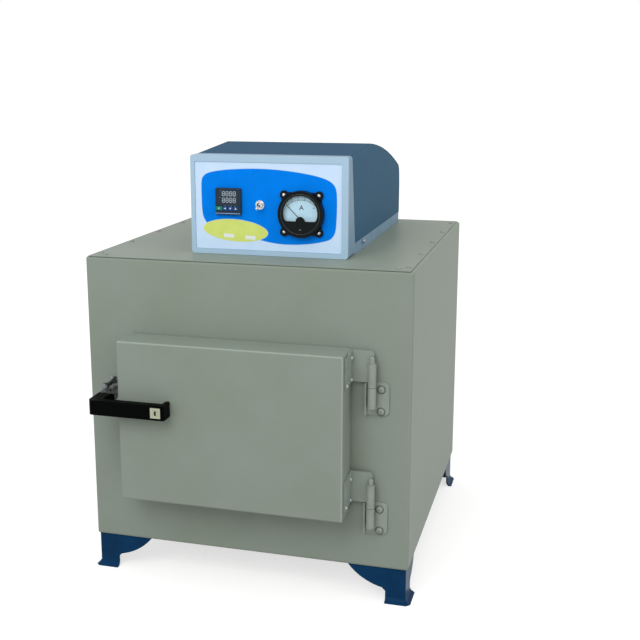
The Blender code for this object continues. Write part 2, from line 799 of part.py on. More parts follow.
def makeHeatingElements():
    blockFront = INSULATION_BACK + GAP
    for name, (side, level) in elementPlaces().items():
        x = DOOR_X + side * CHAMBER_W / 2
        z = CHAMBER_Z + level * GROOVE_Z
        coil = rod(name, GROOVE_R - GAP, (x, MUFFLE_FRONT + MUFFLE_T + GAP, z),
                   (x, CHAMBER_BACK - GAP, z), segments=16)
        lead = rod(name + " lead", ELEMENT_LEAD_R, (x, CHAMBER_BACK - OVERRUN, z),
                   (x, blockFront + TERMINAL_BLOCK_T + GAP + ELEMENT_TAIL, z), True, segments=12)
        join(coil, lead)
        paint(coil, "heating alloy")


def makeTerminalBlock():
    front = INSULATION_BACK + GAP
    height = GROOVE_Z + TERMINAL_BLOCK_H / 2
    block = box("terminal_block", (DOOR_X - TERMINAL_BLOCK_W / 2, DOOR_X + TERMINAL_BLOCK_W / 2),
                (front, front + TERMINAL_BLOCK_T), (CHAMBER_Z - height, CHAMBER_Z + height))
    inside = CHAMBER_W / 2 - TERMINAL_BLOCK_H
    window = box("terminal window cutter", (DOOR_X - inside, DOOR_X + inside),
                 (front - OVERRUN, front + TERMINAL_BLOCK_T + OVERRUN),
                 (CHAMBER_Z - height + TERMINAL_BLOCK_H, CHAMBER_Z + height + OVERRUN), True)
    cut(block, window)
    for name, (side, level) in elementPlaces().items():
        x = DOOR_X + side * CHAMBER_W / 2
        z = CHAMBER_Z + level * GROOVE_Z
        hole = rod(name + " block cutter", ELEMENT_LEAD_R + GAP, (x, front - OVERRUN, z),
                   (x, front + TERMINAL_BLOCK_T + OVERRUN, z), True, segments=12)
        cut(block, hole)
    paint(block, "glazed ceramic")


def makeHearth():
    width = CHAMBER_W / 2 - LOOSE_GAP
    low = CHAMBER_Z - CHAMBER_H / 2 + GAP
    hearth = box("hearth_plate", (DOOR_X - width, DOOR_X + width),
                 (MUFFLE_FRONT + LOOSE_GAP, CHAMBER_BACK - LOOSE_GAP), (low, low + HEARTH_T))
    paint(hearth, "ceramic fibre")


def makeThermocouple():
    z = CHAMBER_Z + THERMOCOUPLE_Z
    front = INSULATION_BACK + GAP
    sheath = rod("thermocouple", THERMOCOUPLE_R, (DOOR_X, CHAMBER_BACK - THERMOCOUPLE_REACH, z),
                 (DOOR_X, front + THERMOCOUPLE_HEAD_D, z), segments=16)
    head = rod("thermocouple head", THERMOCOUPLE_HEAD_R, (DOOR_X, front, z),
               (DOOR_X, front + THERMOCOUPLE_HEAD_D, z), True)
    join(sheath, head)
    paint(sheath, "stainless")


def makeThermocoupleHole():
    z = CHAMBER_Z + THERMOCOUPLE_Z
    rod("thermocouple hole cutter", THERMOCOUPLE_R + GAP, (DOOR_X, CHAMBER_BACK - OVERRUN, z),
        (DOOR_X, INSULATION_BACK + OVERRUN, z), True, segments=16)


def makeHingeLeaf(name, split):
    face = FRONT - GAP
    left = HINGE_X - LEAF_LEFT
    right = left + LEAF_W
    low = split - LEAF_LOW
    high = split + LEAF_HIGH
    corners = [(left, low, 0), (right, low, LEAF_CORNER_R), (right, high, LEAF_CORNER_R), (left, high, 0)]
    leaf = plate(name, [rounded(corners)], face - LEAF_T, face, "Y")
    strip = box(name + " strip", (left - LEAF_T / 2, left + LEAF_T / 2), (face - STRIP_Y, face - LEAF_T / 2),
                (split - STRIP_DROP, high - FINE_EDGE), True)
    knuckleTop = split - KNUCKLE_SEAM / 2
    knuckle = rod(name + " knuckle", KNUCKLE_R, (HINGE_X, HINGE_AXIS.y, split - LEAF_KNUCKLE_H),
                  (HINGE_X, HINGE_AXIS.y, knuckleTop), True)
    web = box(name + " web", (HINGE_X - KNUCKLE_R, HINGE_X), (HINGE_AXIS.y, face - LEAF_T / 2),
              (split - LEAF_KNUCKLE_H, knuckleTop), True)
    bore = rod(name + " bore cutter", PIN_R + PIN_GAP,
               (HINGE_X, HINGE_AXIS.y, split - LEAF_KNUCKLE_H - OVERRUN),
               (HINGE_X, HINGE_AXIS.y, split + OVERRUN), True)
    join(leaf, strip, knuckle, web)
    for place in leafScrewPlaces(split):
        hole = rod(name + f" screw cutter {place.z:.4f}", LEAF_SCREW_SHANK_R + GAP,
                   (place.x, FRONT - LEAF_T - OVERRUN, place.z), (place.x, FRONT + OVERRUN, place.z), True,
                   segments=12)
        cut(leaf, hole)
        cut(bpy.data.objects["cabinet_shell"], hole)
    cut(leaf, bore)
    smooth(leaf)
    paint(leaf, "cabinet paint")


def leafScrewPlaces(split):
    x = HINGE_X - LEAF_LEFT + LEAF_W - LEAF_SCREW_EDGE
    face = FRONT - GAP - LEAF_T
    return (Vector((x, face, split - LEAF_SCREW_Z)),
            Vector((x, face, split - LEAF_LOW + LEAF_SCREW_Z)))


def makeLeafScrew(name, place):
    start = place - Vector((0, GAP, 0))
    radius = LEAF_SCREW_R
    dome = [(0, LEAF_SCREW_H)]
    for degrees in (30, 60, 90):
        turn = math.radians(degrees)
        dome.append((radius * math.sin(turn), LEAF_SCREW_H * math.cos(turn)))
    dome[-1] = (radius, 0)
    shank = LEAF_T + SHEET_T + 2 * GAP
    dome += [(LEAF_SCREW_SHANK_R, 0), (LEAF_SCREW_SHANK_R, -shank), (0, -shank)]
    screw = turned(name, dome, start, (0, -1, 0), steps=16)
    for turn in (0, 90):
        half = (SCREW_SLOT_L / 2, SCREW_SLOT_W / 2)
        size = half if turn else half[::-1]
        slot = box(name + f" slot {turn}", (start.x - size[0], start.x + size[0]),
                   (start.y - LEAF_SCREW_H - OVERRUN, start.y - LEAF_SCREW_H + SCREW_SLOT_D),
                   (start.z - size[1], start.z + size[1]), True)
        cut(screw, slot)
    smooth(screw)
    paint(screw, "cabinet paint")


def makeHingePin(name, split):
    low = split - LEAF_KNUCKLE_H
    high = split + PIN_TOP
    profile = [(0, high), (PIN_R - PIN_CROWN, high), (PIN_R, high - PIN_CROWN), (PIN_R, low), (0, low)]
    pin = turned(name, [(radius, height - low) for radius, height in profile],
                 (HINGE_X, HINGE_AXIS.y, low), (0, 0, 1))
    smooth(pin)
    paint(pin, "cabinet paint")


def makeHingeArm(name, split):
    wingLeft = DOOR_RIGHT + GAP
    low = split + ARM_LOW
    high = split + ARM_HIGH
    plateBack = FRONT - ARM_PLATE_Y
    plateRight = HINGE_X + ARM_PAST_PIN
    corners = [(wingLeft, low, 0), (plateRight, low, 0),
               (plateRight, high, ARM_CORNER_R), (wingLeft, high, 0)]
    arm = plate(name, [rounded(corners)], plateBack - ARM_T, plateBack, "Y")
    wing = box(name + " wing", (wingLeft, wingLeft + ARM_T), (FRONT - ARM_WING_FRONT, plateBack - ARM_T / 2),
               (low, high), True)
    tongue = box(name + " tongue", (wingLeft, wingLeft + ARM_TONGUE_T),
                 (FRONT - ARM_TONGUE_FRONT, FRONT - ARM_WING_FRONT + ARM_T),
                 (low - ARM_TONGUE_MARGIN, high - ARM_TONGUE_MARGIN), True)
    knuckleLow = split + KNUCKLE_SEAM / 2
    knuckle = rod(name + " knuckle", KNUCKLE_R, (HINGE_X, HINGE_AXIS.y, knuckleLow),
                  (HINGE_X, HINGE_AXIS.y, split + ARM_KNUCKLE_H), True)
    web = box(name + " web", (HINGE_X - KNUCKLE_R, HINGE_X), (HINGE_AXIS.y, plateBack - ARM_T / 2),
              (low, split + ARM_KNUCKLE_H), True)
    bore = rod(name + " bore cutter", PIN_R + PIN_GAP, (HINGE_X, HINGE_AXIS.y, split - OVERRUN),
               (HINGE_X, HINGE_AXIS.y, high + OVERRUN), True)
    cut(join(arm, wing, tongue, knuckle, web), bore)
    smooth(arm)
    return paint(arm, "cabinet paint")


def makeDoorShell():
    bm = bmesh.new()
    boxCorners(bm, (DOOR_LEFT, DOOR_RIGHT), (DOOR_FRONT, DOOR_REAR), (DOOR_LOW, DOOR_TOP))
    bmesh.ops.delete(bm, geom=[facing(bm, Vector((0, 1, 0)))], context="FACES_ONLY")
    inner = [edge for edge in bm.edges if not edge.is_boundary]
    bmesh.ops.bevel(bm, geom=inner, offset=DOOR_EDGE_R, segments=2,
                    profile=ROUND_PROFILE_SHARE, affect="EDGES")
    shell = finish("door_shell", bm)
    thicken(shell, SHEET_T)
    smooth(shell)
    return paint(shell, "cabinet paint")


def plugSpan(clearance):
    x = CHAMBER_W / 2 - DOOR_PLUG_GAP + clearance
    z = CHAMBER_H / 2 - DOOR_PLUG_GAP + clearance
    return (DOOR_X - x, DOOR_X + x), (CHAMBER_Z - z, CHAMBER_Z + z)


def makeDoorInsulation():
    wall = SHEET_T + LOOSE_GAP
    bodyBack = DOOR_REAR - SHEET_T - GAP
    body = box("door_insulation", (DOOR_LEFT + wall, DOOR_RIGHT - wall), (DOOR_FRONT + wall, bodyBack),
               (DOOR_LOW + wall, DOOR_TOP - wall))
    x, z = plugSpan(0)
    plug = box("door plug", x, (bodyBack - OVERRUN, FRONT + DOOR_PLUG_D), z, True)
    join(body, plug)
    return paint(body, "ceramic fibre")


def makeDoorFrame():
    wall = SHEET_T + GAP
    left, right, low, high = DOOR_LEFT + wall, DOOR_RIGHT - wall, DOOR_LOW + wall, DOOR_TOP - wall
    corners = [(x, z, DOOR_EDGE_R) for x, z in ((left, low), (right, low), (right, high), (left, high))]
    frame = plate("door_back_frame", [rounded(corners, 2)], DOOR_REAR - SHEET_T, DOOR_REAR, "Y")
    x, z = plugSpan(GAP)
    window = box("door frame cutter", x, (DOOR_REAR - SHEET_T - OVERRUN, DOOR_REAR + OVERRUN), z, True)
    cut(frame, window)
    return paint(frame, "stainless")


def makeDoorSeal():
    x, z = plugSpan(SEAL_MARGIN + SEAL_W)
    seal = box("door_seal", x, (DOOR_REAR + GAP, FRONT - GAP), z)
    x, z = plugSpan(SEAL_MARGIN)
    window = box("door seal cutter", x, (DOOR_REAR - OVERRUN, FRONT + OVERRUN), z, True)
    cut(seal, window)
    return paint(seal, "seal rope")


def makeLatchBracket():
    face = DOOR_LEFT - GAP
    back = PIVOT.y + BRACKET_SIDE_D - BRACKET_SHELF_D / 2
    front = PIVOT.y - BRACKET_SHELF_D / 2
    low = PIVOT.z - GAP - BRACKET_T
    high = LEVER_TOP + GAP + BRACKET_T
    top = high + BRACKET_TAB_H
    bracket = box("latch_bracket", (face - BRACKET_T, face), (front, back), (low, top))
    left = PIVOT.x - BRACKET_SHELF_W / 2
    for name, z in (("lower", (low, low + BRACKET_T)), ("upper", (high - BRACKET_T, high))):
        shelf = box(f"bracket {name} shelf", (left, face - BRACKET_T / 2),
                    (front, PIVOT.y + BRACKET_SHELF_D / 2), z, True)
        join(bracket, shelf)
    tabFront = FRONT - BRACKET_TAB_Y - BRACKET_T / 2
    tabSpan = (PIVOT.x - BRACKET_TAB_REACH, face - BRACKET_T / 2)
    tab = box("bracket tab", tabSpan, (tabFront, tabFront + BRACKET_T), (high - BRACKET_T / 2, top), True)
    bridge = box("bracket bridge", tabSpan, (PIVOT.y, tabFront + BRACKET_T), (high - BRACKET_T, high), True)
    hole = rod("pivot hole cutter", LATCH_PIN_R + GAP, (PIVOT.x, PIVOT.y, low - OVERRUN),
               (PIVOT.x, PIVOT.y, high + OVERRUN), True, segments=16)
    boltZ = LEVER_TOP + BOLT_Z
    boltHole = rod("bolt hole cutter", BOLT_R + GAP, (PIVOT.x, tabFront - OVERRUN, boltZ),
                   (PIVOT.x, tabFront + BRACKET_T + OVERRUN, boltZ), True, segments=16)
    cut(join(bracket, bridge, tab), hole, boltHole)
    return paint(bracket, "chrome")


def makePivotPin():
    low = PIVOT.z - GAP - BRACKET_T
    high = LEVER_TOP + GAP + BRACKET_T + GAP
    pin = rod("latch_pivot_pin", LATCH_PIN_R, (PIVOT.x, PIVOT.y, low), (PIVOT.x, PIVOT.y, high), segments=16)
    head = rod("pivot pin head", LATCH_PIN_HEAD_R, (PIVOT.x, PIVOT.y, high),
               (PIVOT.x, PIVOT.y, high + LATCH_PIN_HEAD_H), True, segments=16)
    join(pin, head)
    return paint(pin, "chrome")


def makeAdjustBolt():
    z = LEVER_TOP + BOLT_Z
    front = FRONT - BOLT_FRONT
    bolt = rod("latch_adjust_bolt", BOLT_R, (PIVOT.x, FRONT - BOLT_BACK, z),
               (PIVOT.x, front + BOLT_HEAD_H / 2, z), segments=20)
    head = rod("bolt head", BOLT_HEAD_R, (PIVOT.x, front + BOLT_HEAD_H, z), (PIVOT.x, front, z), True,
               segments=24, endRadius=BOLT_HEAD_R - FINE_EDGE)
    join(bolt, head)
    smooth(bolt)
    paint(bolt, "chrome")
    nutBack = FRONT - BRACKET_TAB_Y - BRACKET_T / 2 - GAP
    nut = rod("latch_adjust_nut", NUT_R, (PIVOT.x, nutBack - NUT_H, z), (PIVOT.x, nutBack, z), segments=6)
    bore = rod("nut bore cutter", BOLT_R + GAP, (PIVOT.x, nutBack - NUT_H - OVERRUN, z),
               (PIVOT.x, nutBack + OVERRUN, z), True, segments=20)
    cut(nut, bore)
    paint(nut, "chrome")
    return bolt, nut


def makeLever():
    legRight = LEVER_LEFT + LEVER_LEG_W
    legBack = PIVOT.y + LEVER_LEG_BACK
    barBack = LEVER_FACE + LEVER_BAR_T
    endBack = DOOR_FRONT - LEVER_DOOR_GAP
    endLeft = LEVER_RIGHT - LEVER_END_T
    corners = [
        (LEVER_LEFT, legBack, LEVER_REAR_R), (LEVER_LEFT, LEVER_FACE, LEVER_CORNER_R),
        (LEVER_RIGHT, LEVER_FACE, LEVER_END_R), (LEVER_RIGHT, endBack, LEVER_END_R),
        (endLeft, endBack, LEVER_END_R), (endLeft, barBack, LEVER_END_R),
        (legRight, barBack, LEVER_END_R), (legRight, legBack, LEVER_END_R),
    ]
    lever = plate("latch_lever", [rounded(corners, 4)], PIVOT.z, LEVER_TOP, "Z")
    soften(lever, LEVER_EDGE_R, 2, 60)
    hole = rod("lever hole cutter", LATCH_PIN_R + GAP, (PIVOT.x, PIVOT.y, PIVOT.z - OVERRUN),
               (PIVOT.x, PIVOT.y, LEVER_TOP + OVERRUN), True, segments=16)
    pocket = rod("lock pocket cutter", LOCK_R + GAP, (LOCK_X, LEVER_FACE - OVERRUN, LOCK_Z),
                 (LOCK_X, LEVER_FACE + LOCK_D, LOCK_Z), True)
    cut(lever, hole, pocket)
    smooth(lever)
    return paint(lever, "black plastic")


def makeLock():
    half = LOCK_PLATE_W / 2
    back = LEVER_FACE - GAP
    frame = box("lock_plate", (LOCK_X - half, LOCK_X + half), (back - LOCK_PLATE_T, back),
                (LOCK_Z - half, LOCK_Z + half))
    hole = rod("lock plate cutter", LOCK_R + GAP, (LOCK_X, back - LOCK_PLATE_T - OVERRUN, LOCK_Z),
               (LOCK_X, back + OVERRUN, LOCK_Z), True)
    cut(frame, hole)
    paint(frame, "lock brass")
    face = back - LOCK_PLATE_T - LOCK_PROUD
    cylinder = rod("lock_cylinder", LOCK_R, (LOCK_X, LEVER_FACE + LOCK_D - GAP, LOCK_Z),
                   (LOCK_X, face, LOCK_Z))
    slot = box("keyhole cutter", (LOCK_X - KEYHOLE_W / 2, LOCK_X + KEYHOLE_W / 2),
               (face - OVERRUN, face + KEYHOLE_D), (LOCK_Z - KEYHOLE_H / 2, LOCK_Z + KEYHOLE_H / 2), True)
    cut(cylinder, slot)
    paint(cylinder, "lock brass")
    return frame, cylinder


def makeKeeper():
    z = (PIVOT.z + LOOSE_GAP, LEVER_TOP - LOOSE_GAP)
    left = PIVOT.x - KEEPER_W / 2
    back = FRONT - GAP
    keeper = box("latch_keeper", (left - KEEPER_FOOT_W / 2, left + KEEPER_W), (back - KEEPER_T, back), z)
    post = box("keeper post", (left + KEEPER_T, left + 2 * KEEPER_T), (FRONT - KEEPER_D, back - KEEPER_T / 2),
               z, True)
    join(keeper, post)
    paint(keeper, "chrome")


def makeCaseBase():
    bm = bmesh.new()
    boxCorners(bm, (CASE_LEFT, CASE_RIGHT), (HOOD_FRONT, CASE_BACK), (CASE_LOW, CASE_LOW + BASE_H))
    bmesh.ops.delete(bm, geom=[facing(bm, Vector((0, 0, 1)))], context="FACES_ONLY")
    upright = [edge for edge in bm.edges if abs(edge.verts[0].co.z - edge.verts[1].co.z) > BASE_H / 2]
    bmesh.ops.bevel(bm, geom=upright, offset=BEZEL_R, segments=3, profile=ROUND_PROFILE_SHARE, affect="EDGES")
    base = finish("controller_base", bm)
    thicken(base, CASE_T)
    for side, x in (("left", CASE_LEFT), ("right", CASE_RIGHT)):
        out = -1 if side == "left" else 1
        lug = rod(f"lug {side}", LUG_R, (x - out * CASE_T / 2, CASE_FACE + LUG_Y, CASE_LOW + BASE_H - LUG_R),
                  (x + out * LUG_T, CASE_FACE + LUG_Y, CASE_LOW + BASE_H - LUG_R), True, segments=16)
        join(base, lug)
    smooth(base)
    paint(base, "case grey")


def seamAt(z):
    return HOOD_FRONT - BEZEL_LEAN * (z - HOOD_LOW) / (CASE_LOW + CASE_H - HOOD_LOW)


def hoodProfile():
    peak = (HOOD_FRONT + HOOD_PEAK_Y, CASE_LOW + HOOD_PEAK_H)
    brow = CASE_LOW + HOOD_FRONT_H
    corners = [(HOOD_FRONT, HOOD_LOW), (seamAt(brow), brow)]
    run = CASE_BACK - peak[0]
    drop = HOOD_PEAK_H - HOOD_BACK_H
    for step in range(HOOD_STEPS + 1):
        share = step / HOOD_STEPS
        height = HOOD_SLOPE_SHARE * share + (1 - HOOD_SLOPE_SHARE) * share * share
        corners.append((peak[0] + run * share, peak[1] - drop * height))
    corners[-1] = (CASE_BACK, CASE_LOW + HOOD_BACK_H)
    corners.append((CASE_BACK, HOOD_LOW))
    rounds = [0] * len(corners)
    rounds[2] = HOOD_BACK_R
    rounds[-2] = HOOD_BACK_R
    return rounded([(y, z, radius) for (y, z), radius in zip(corners, rounds)], 4)


def makeCaseCover():
    solid = plate("controller_cover", [hoodProfile()], CASE_LEFT, CASE_RIGHT, "X")
    bm = bmesh.new()
    bm.from_mesh(solid.data)
    bmesh.ops.dissolve_limit(bm, angle_limit=math.radians(1), verts=bm.verts, edges=bm.edges)
    roofEdges = []
    for edge in bm.edges:
        sides = [abs(face.normal.x) > FACING_SHARE for face in edge.link_faces]
        top = min(vert.co.z for vert in edge.verts) > HOOD_LOW + HOOD_EDGE_R
        if len(sides) == 2 and sides[0] != sides[1] and top and not frontEdge(edge):
            roofEdges.append(edge)
    bmesh.ops.bevel(bm, geom=roofEdges, offset=HOOD_EDGE_R, segments=3,
                    profile=ROUND_PROFILE_SHARE, affect="EDGES")
    bm.normal_update()
    openFaces = [face for face in bm.faces if min(face.normal.z, face.normal.y) < -FACING_SHARE]
    bmesh.ops.delete(bm, geom=openFaces, context="FACES")
    bm.to_mesh(solid.data)
    bm.free()
    thicken(solid, CASE_T)
    smooth(solid)
    paint(solid, "case blue")


def frontEdge(edge):
    return all(abs(vert.co.y - seamAt(vert.co.z)) < WELD for vert in edge.verts)


def makeBezel():
    outer = rounded([
        (CASE_LEFT, CASE_LOW, BEZEL_CORNER_R), (CASE_RIGHT, CASE_LOW, BEZEL_CORNER_R),
        (CASE_RIGHT, CASE_LOW + CASE_H, BEZEL_CORNER_R), (CASE_LEFT, CASE_LOW + CASE_H, BEZEL_CORNER_R),
    ], 4)
    inner = rounded(panelCorners(GAP), 3)
    bezel = plate("controller_bezel", [outer], CASE_FACE, CASE_FACE + BEZEL_D, "Y")
    window = plate("bezel cutter", [inner], CASE_FACE - OVERRUN, CASE_FACE + BEZEL_D + OVERRUN, "Y", True)
    group = bezel.vertex_groups.new(name="front rim")
    front = [vert.index for vert in bezel.data.vertices if abs(vert.co.y - CASE_FACE) < WELD]
    group.add(front, 1.0, "REPLACE")
    edge = bezel.modifiers.new("rim", "BEVEL")
    edge.width = BEZEL_R
    edge.segments = 3
    edge.limit_method = "VGROUP"
    edge.vertex_group = "front rim"
    cut(bezel, window)
    top = CASE_LOW + CASE_H + OVERRUN
    behind = HOOD_FRONT + OVERRUN
    low = HOOD_LOW - OVERRUN
    wedge = [(seamAt(low) - GAP, low), (behind, low), (behind, top), (seamAt(top) - GAP, top)]
    cut(bezel, plate("bezel back cutter", [wedge], CASE_LEFT - OVERRUN, CASE_RIGHT + OVERRUN, "X", True))
    smooth(bezel, 50)
    paint(bezel, "case grey")


def panelCorners(clearance):
    left = CASE_LEFT + BEZEL_BORDER_LEFT - clearance
    right = CASE_RIGHT - BEZEL_BORDER_RIGHT + clearance
    low = CASE_LOW + BEZEL_BORDER_FOOT - clearance
    high = CASE_LOW + CASE_H - BEZEL_BORDER_TOP + clearance
    return [(left, low, PANEL_CORNER_R), (right, low, PANEL_CORNER_R),
            (right, high, PANEL_CORNER_R), (left, high, PANEL_CORNER_R)]


def onPanel(x, z):
    return CASE_LEFT + x, CASE_LOW + z


def makePanel():
    panel = plate("control_panel", [rounded(panelCorners(0), 3)], PANEL_FACE, PANEL_BACK, "Y")
    span = (PANEL_FACE - OVERRUN, PANEL_BACK + OVERRUN)
    x, z = onPanel(TC_X, TC_Z)
    half = TC_BODY_W / 2 + GAP
    square = box("panel square cutter", (x - half, x + half), span, (z - half, z + half), True)
    x, z = onPanel(METER_X, METER_Z)
    meter = rod("panel meter cutter", METER_BARREL_R + GAP, (x, span[0], z), (x, span[1], z), True,
                segments=32)
    x, z = onPanel(TOGGLE_X, TOGGLE_Z)
    toggle = rod("panel toggle cutter", TOGGLE_NECK_R + GAP, (x, span[0], z), (x, span[1], z), True)
    cut(panel, square, meter, toggle)
    paint(panel, "panel film")


def keySpan(index):
    x, z = onPanel(TC_X, TC_Z)
    middle = x + KEY_SHIFT + (index - (KEY_COUNT - 1) / 2) * KEY_PITCH
    extra = 0 if index else KEY_SET_EXTRA
    row = z - KEY_DROP
    return (middle - KEY_W / 2 - extra, middle + KEY_W / 2), (row - KEY_H / 2, row + KEY_H / 2)


def displaySpan():
    x, z = onPanel(TC_X, TC_Z)
    middle = z + DISPLAY_RISE
    return (x - DISPLAY_W / 2, x + DISPLAY_W / 2), (middle - DISPLAY_H / 2, middle + DISPLAY_H / 2)


def grown(span, clearance):
    return span[0] - clearance, span[1] + clearance


def makeTempController():
    x, z = onPanel(TC_X, TC_Z)
    half = TC_W / 2
    back = PANEL_FACE - GAP
    face = back - TC_FRONT_D
    case = box("temp_controller", (x - half, x + half), (face, back), (z - half, z + half))
    soften(case, TC_EDGE_R, 2, 60)
    half = TC_BODY_W / 2
    body = box("temp controller body", (x - half, x + half), (back - TC_FRONT_D / 2, back + TC_BODY_D),
               (z - half, z + half), True)
    join(case, body)
    dx, dz = displaySpan()
    window = box("display pocket cutter", grown(dx, GAP), (face - OVERRUN, face + DISPLAY_T + GAP),
                 grown(dz, GAP), True)
    cut(case, window)
    depth = face - KEY_PROUD + KEY_D + KEY_TRAVEL + GAP
    for index in range(KEY_COUNT):
        kx, kz = keySpan(index)
        pocket = box(f"key pocket cutter {index}", grown(kx, GAP), (face - OVERRUN, depth), grown(kz, GAP),
                     True)
        cut(case, pocket)
    paint(case, "black plastic")
    display = box("temp_display", dx, (face, face + DISPLAY_T), dz)
    paint(display, "display window")
    for index, name in enumerate(("key_set", "key_shift", "key_down", "key_up")):
        kx, kz = keySpan(index)
        key = box(name, kx, (face - KEY_PROUD, face - KEY_PROUD + KEY_D), kz)
        frame = pivotFrame(name + " place", Vector((sum(kx) / 2, face - KEY_PROUD, sum(kz) / 2)))
        carry(frame, key)
        paint(key, "key green" if name == "key_set" else "key rubber")


def makeAmmeter():
    x, z = onPanel(METER_X, METER_Z)
    back = PANEL_FACE - GAP
    face = back - METER_FLANGE_D
    case = rod("ammeter_case", METER_R, (x, back, z), (x, face, z), segments=48)
    for side in (-1, 1):
        corner = Vector((side * METER_EAR_PITCH_X / 2, METER_EAR_PITCH_Z / 2))
        ears = plate(f"ears {side}", [stadium(Vector((x, z)) - corner, Vector((x, z)) + corner, METER_EAR_R)],
                     back - METER_EAR_T, back - GAP, "Y", True)
        join(case, ears)
    reachX = METER_EAR_PITCH_X / 2 + METER_PLATE_MARGIN
    reachZ = METER_EAR_PITCH_Z / 2 + METER_PLATE_MARGIN
    corners = [(x + side * reachX, z + level * reachZ, METER_PLATE_R)
               for side, level in ((-1, -1), (1, -1), (1, 1), (-1, 1))]
    join(case, plate("meter plate", [rounded(corners, 4)], back - METER_EAR_T, back - GAP, "Y", True))
    barrel = rod("meter barrel", METER_BARREL_R, (x, back - METER_EAR_T / 2, z),
                 (x, back + METER_BARREL_D, z), True, segments=32)
    cavity = rod("meter cavity cutter", METER_CAVITY_R, (x, face - OVERRUN, z),
                 (x, face + METER_CAVITY_D, z), True, segments=40)
    cut(join(case, barrel), cavity)
    smooth(case)
    paint(case, "black plastic")
    floor = face + METER_CAVITY_D - GAP
    dial = rod("ammeter_dial", METER_CAVITY_R - GAP, (x, floor, z), (x, floor - METER_DIAL_T, z), segments=40)
    paint(dial, "dial card")
    cover = rod("ammeter_cover", METER_CAVITY_R - GAP, (x, face + METER_COVER_T, z), (x, face, z),
                segments=40)
    zeroZ = z - ZERO_DROP
    hole = rod("zero hole cutter", ZERO_R + GAP, (x, face - OVERRUN, zeroZ),
               (x, face + METER_COVER_T + OVERRUN, zeroZ), True, segments=16)
    cut(cover, hole)
    paint(cover, "clear cover")
    zero = rod("zero_adjuster", ZERO_R, (x, face - ZERO_PROUD + ZERO_D, zeroZ), (x, face - ZERO_PROUD, zeroZ),
               segments=16)
    slot = box("zero slot cutter", (x - ZERO_R - OVERRUN, x + ZERO_R + OVERRUN),
               (face - OVERRUN, face), (zeroZ - NEEDLE_T, zeroZ + NEEDLE_T), True)
    cut(zero, slot)
    frame = pivotFrame("zero adjuster axis", Vector((x, face, zeroZ)))
    carry(frame, zero)
    paint(zero, "black plastic")
    needleAxis = Vector((x, floor, z - METER_PIVOT_DROP))
    hubBack = floor - METER_DIAL_T - GAP
    needle = rod("ammeter_needle", NEEDLE_HUB_R, (needleAxis.x, hubBack, needleAxis.z),
                 (needleAxis.x, hubBack - NEEDLE_HUB_T, needleAxis.z), segments=16)
    pointer = box("pointer", (-NEEDLE_W / 2, NEEDLE_W / 2), (-NEEDLE_HUB_T / 2 - NEEDLE_T, -NEEDLE_HUB_T / 2),
                  (0, NEEDLE_L), True)
    pointer.matrix_world = Matrix.Translation((needleAxis.x, hubBack, needleAxis.z)) @ Matrix.Rotation(
        math.radians(-NEEDLE_ZERO_DEG), 4, "Y")
    join(needle, pointer)
    carry(pivotFrame("ammeter needle axis", needleAxis), needle)
    paint(needle, "needle paint")


def makeToggle():
    x, z = onPanel(TOGGLE_X, TOGGLE_Z)
    back = PANEL_BACK + GAP
    front = PANEL_FACE - TOGGLE_NECK_D
    body = box("toggle_body", (x - TOGGLE_BODY_W / 2, x + TOGGLE_BODY_W / 2), (back, back + TOGGLE_BODY_D),
               (z - TOGGLE_BODY_H / 2, z + TOGGLE_BODY_H / 2))
    neck = rod("toggle neck", TOGGLE_NECK_R, (x, back + TOGGLE_NECK_D / 2, z), (x, front, z), True)
    bore = rod("toggle bore cutter", TOGGLE_BORE_R, (x, front - OVERRUN, z),
               (x, back + TOGGLE_BODY_D / 2, z), True)
    cut(join(body, neck), bore)
    paint(body, "stainless")
    nutBack = PANEL_FACE - GAP
    nut = rod("toggle_nut", TOGGLE_NUT_R, (x, nutBack, z), (x, nutBack - TOGGLE_NUT_D, z), segments=32,
              endRadius=TOGGLE_NUT_R - FINE_EDGE)
    hole = rod("toggle nut cutter", TOGGLE_NECK_R + GAP, (x, nutBack + OVERRUN, z),
               (x, nutBack - TOGGLE_NUT_D - OVERRUN, z), True)
    cut(nut, hole)
    paint(nut, "chrome")
    pivot = Vector((x, PANEL_FACE - TOGGLE_NECK_D / 2, z))
    tilt = math.radians(TOGGLE_TILT_DEG)
    way = Vector((0, -math.cos(tilt), -math.sin(tilt)))
    length = TOGGLE_STICK_L
    ball = TOGGLE_BORE_R - GAP
    profile = [(0, length)]
    for degrees in (30, 60, 90, 120, 150):
        turn = math.radians(degrees)
        profile.append((TOGGLE_TIP_R * math.sin(turn), length - TOGGLE_TIP_R * (1 - math.cos(turn))))
    profile[-1] = (TOGGLE_STICK_R, length - 2 * TOGGLE_TIP_R)
    first = math.degrees(math.asin(TOGGLE_STICK_R / ball))
    for step in range(TOGGLE_BALL_STEPS + 1):
        turn = math.radians(first + (180 - first) * step / TOGGLE_BALL_STEPS)
        profile.append((ball * math.sin(turn), ball * math.cos(turn)))
    profile[-1] = (0, -ball)
    stick = turned("toggle_lever", profile, pivot, way, steps=16)
    carry(pivotFrame("toggle axis", pivot), stick)
    smooth(stick)
    paint(stick, "chrome")


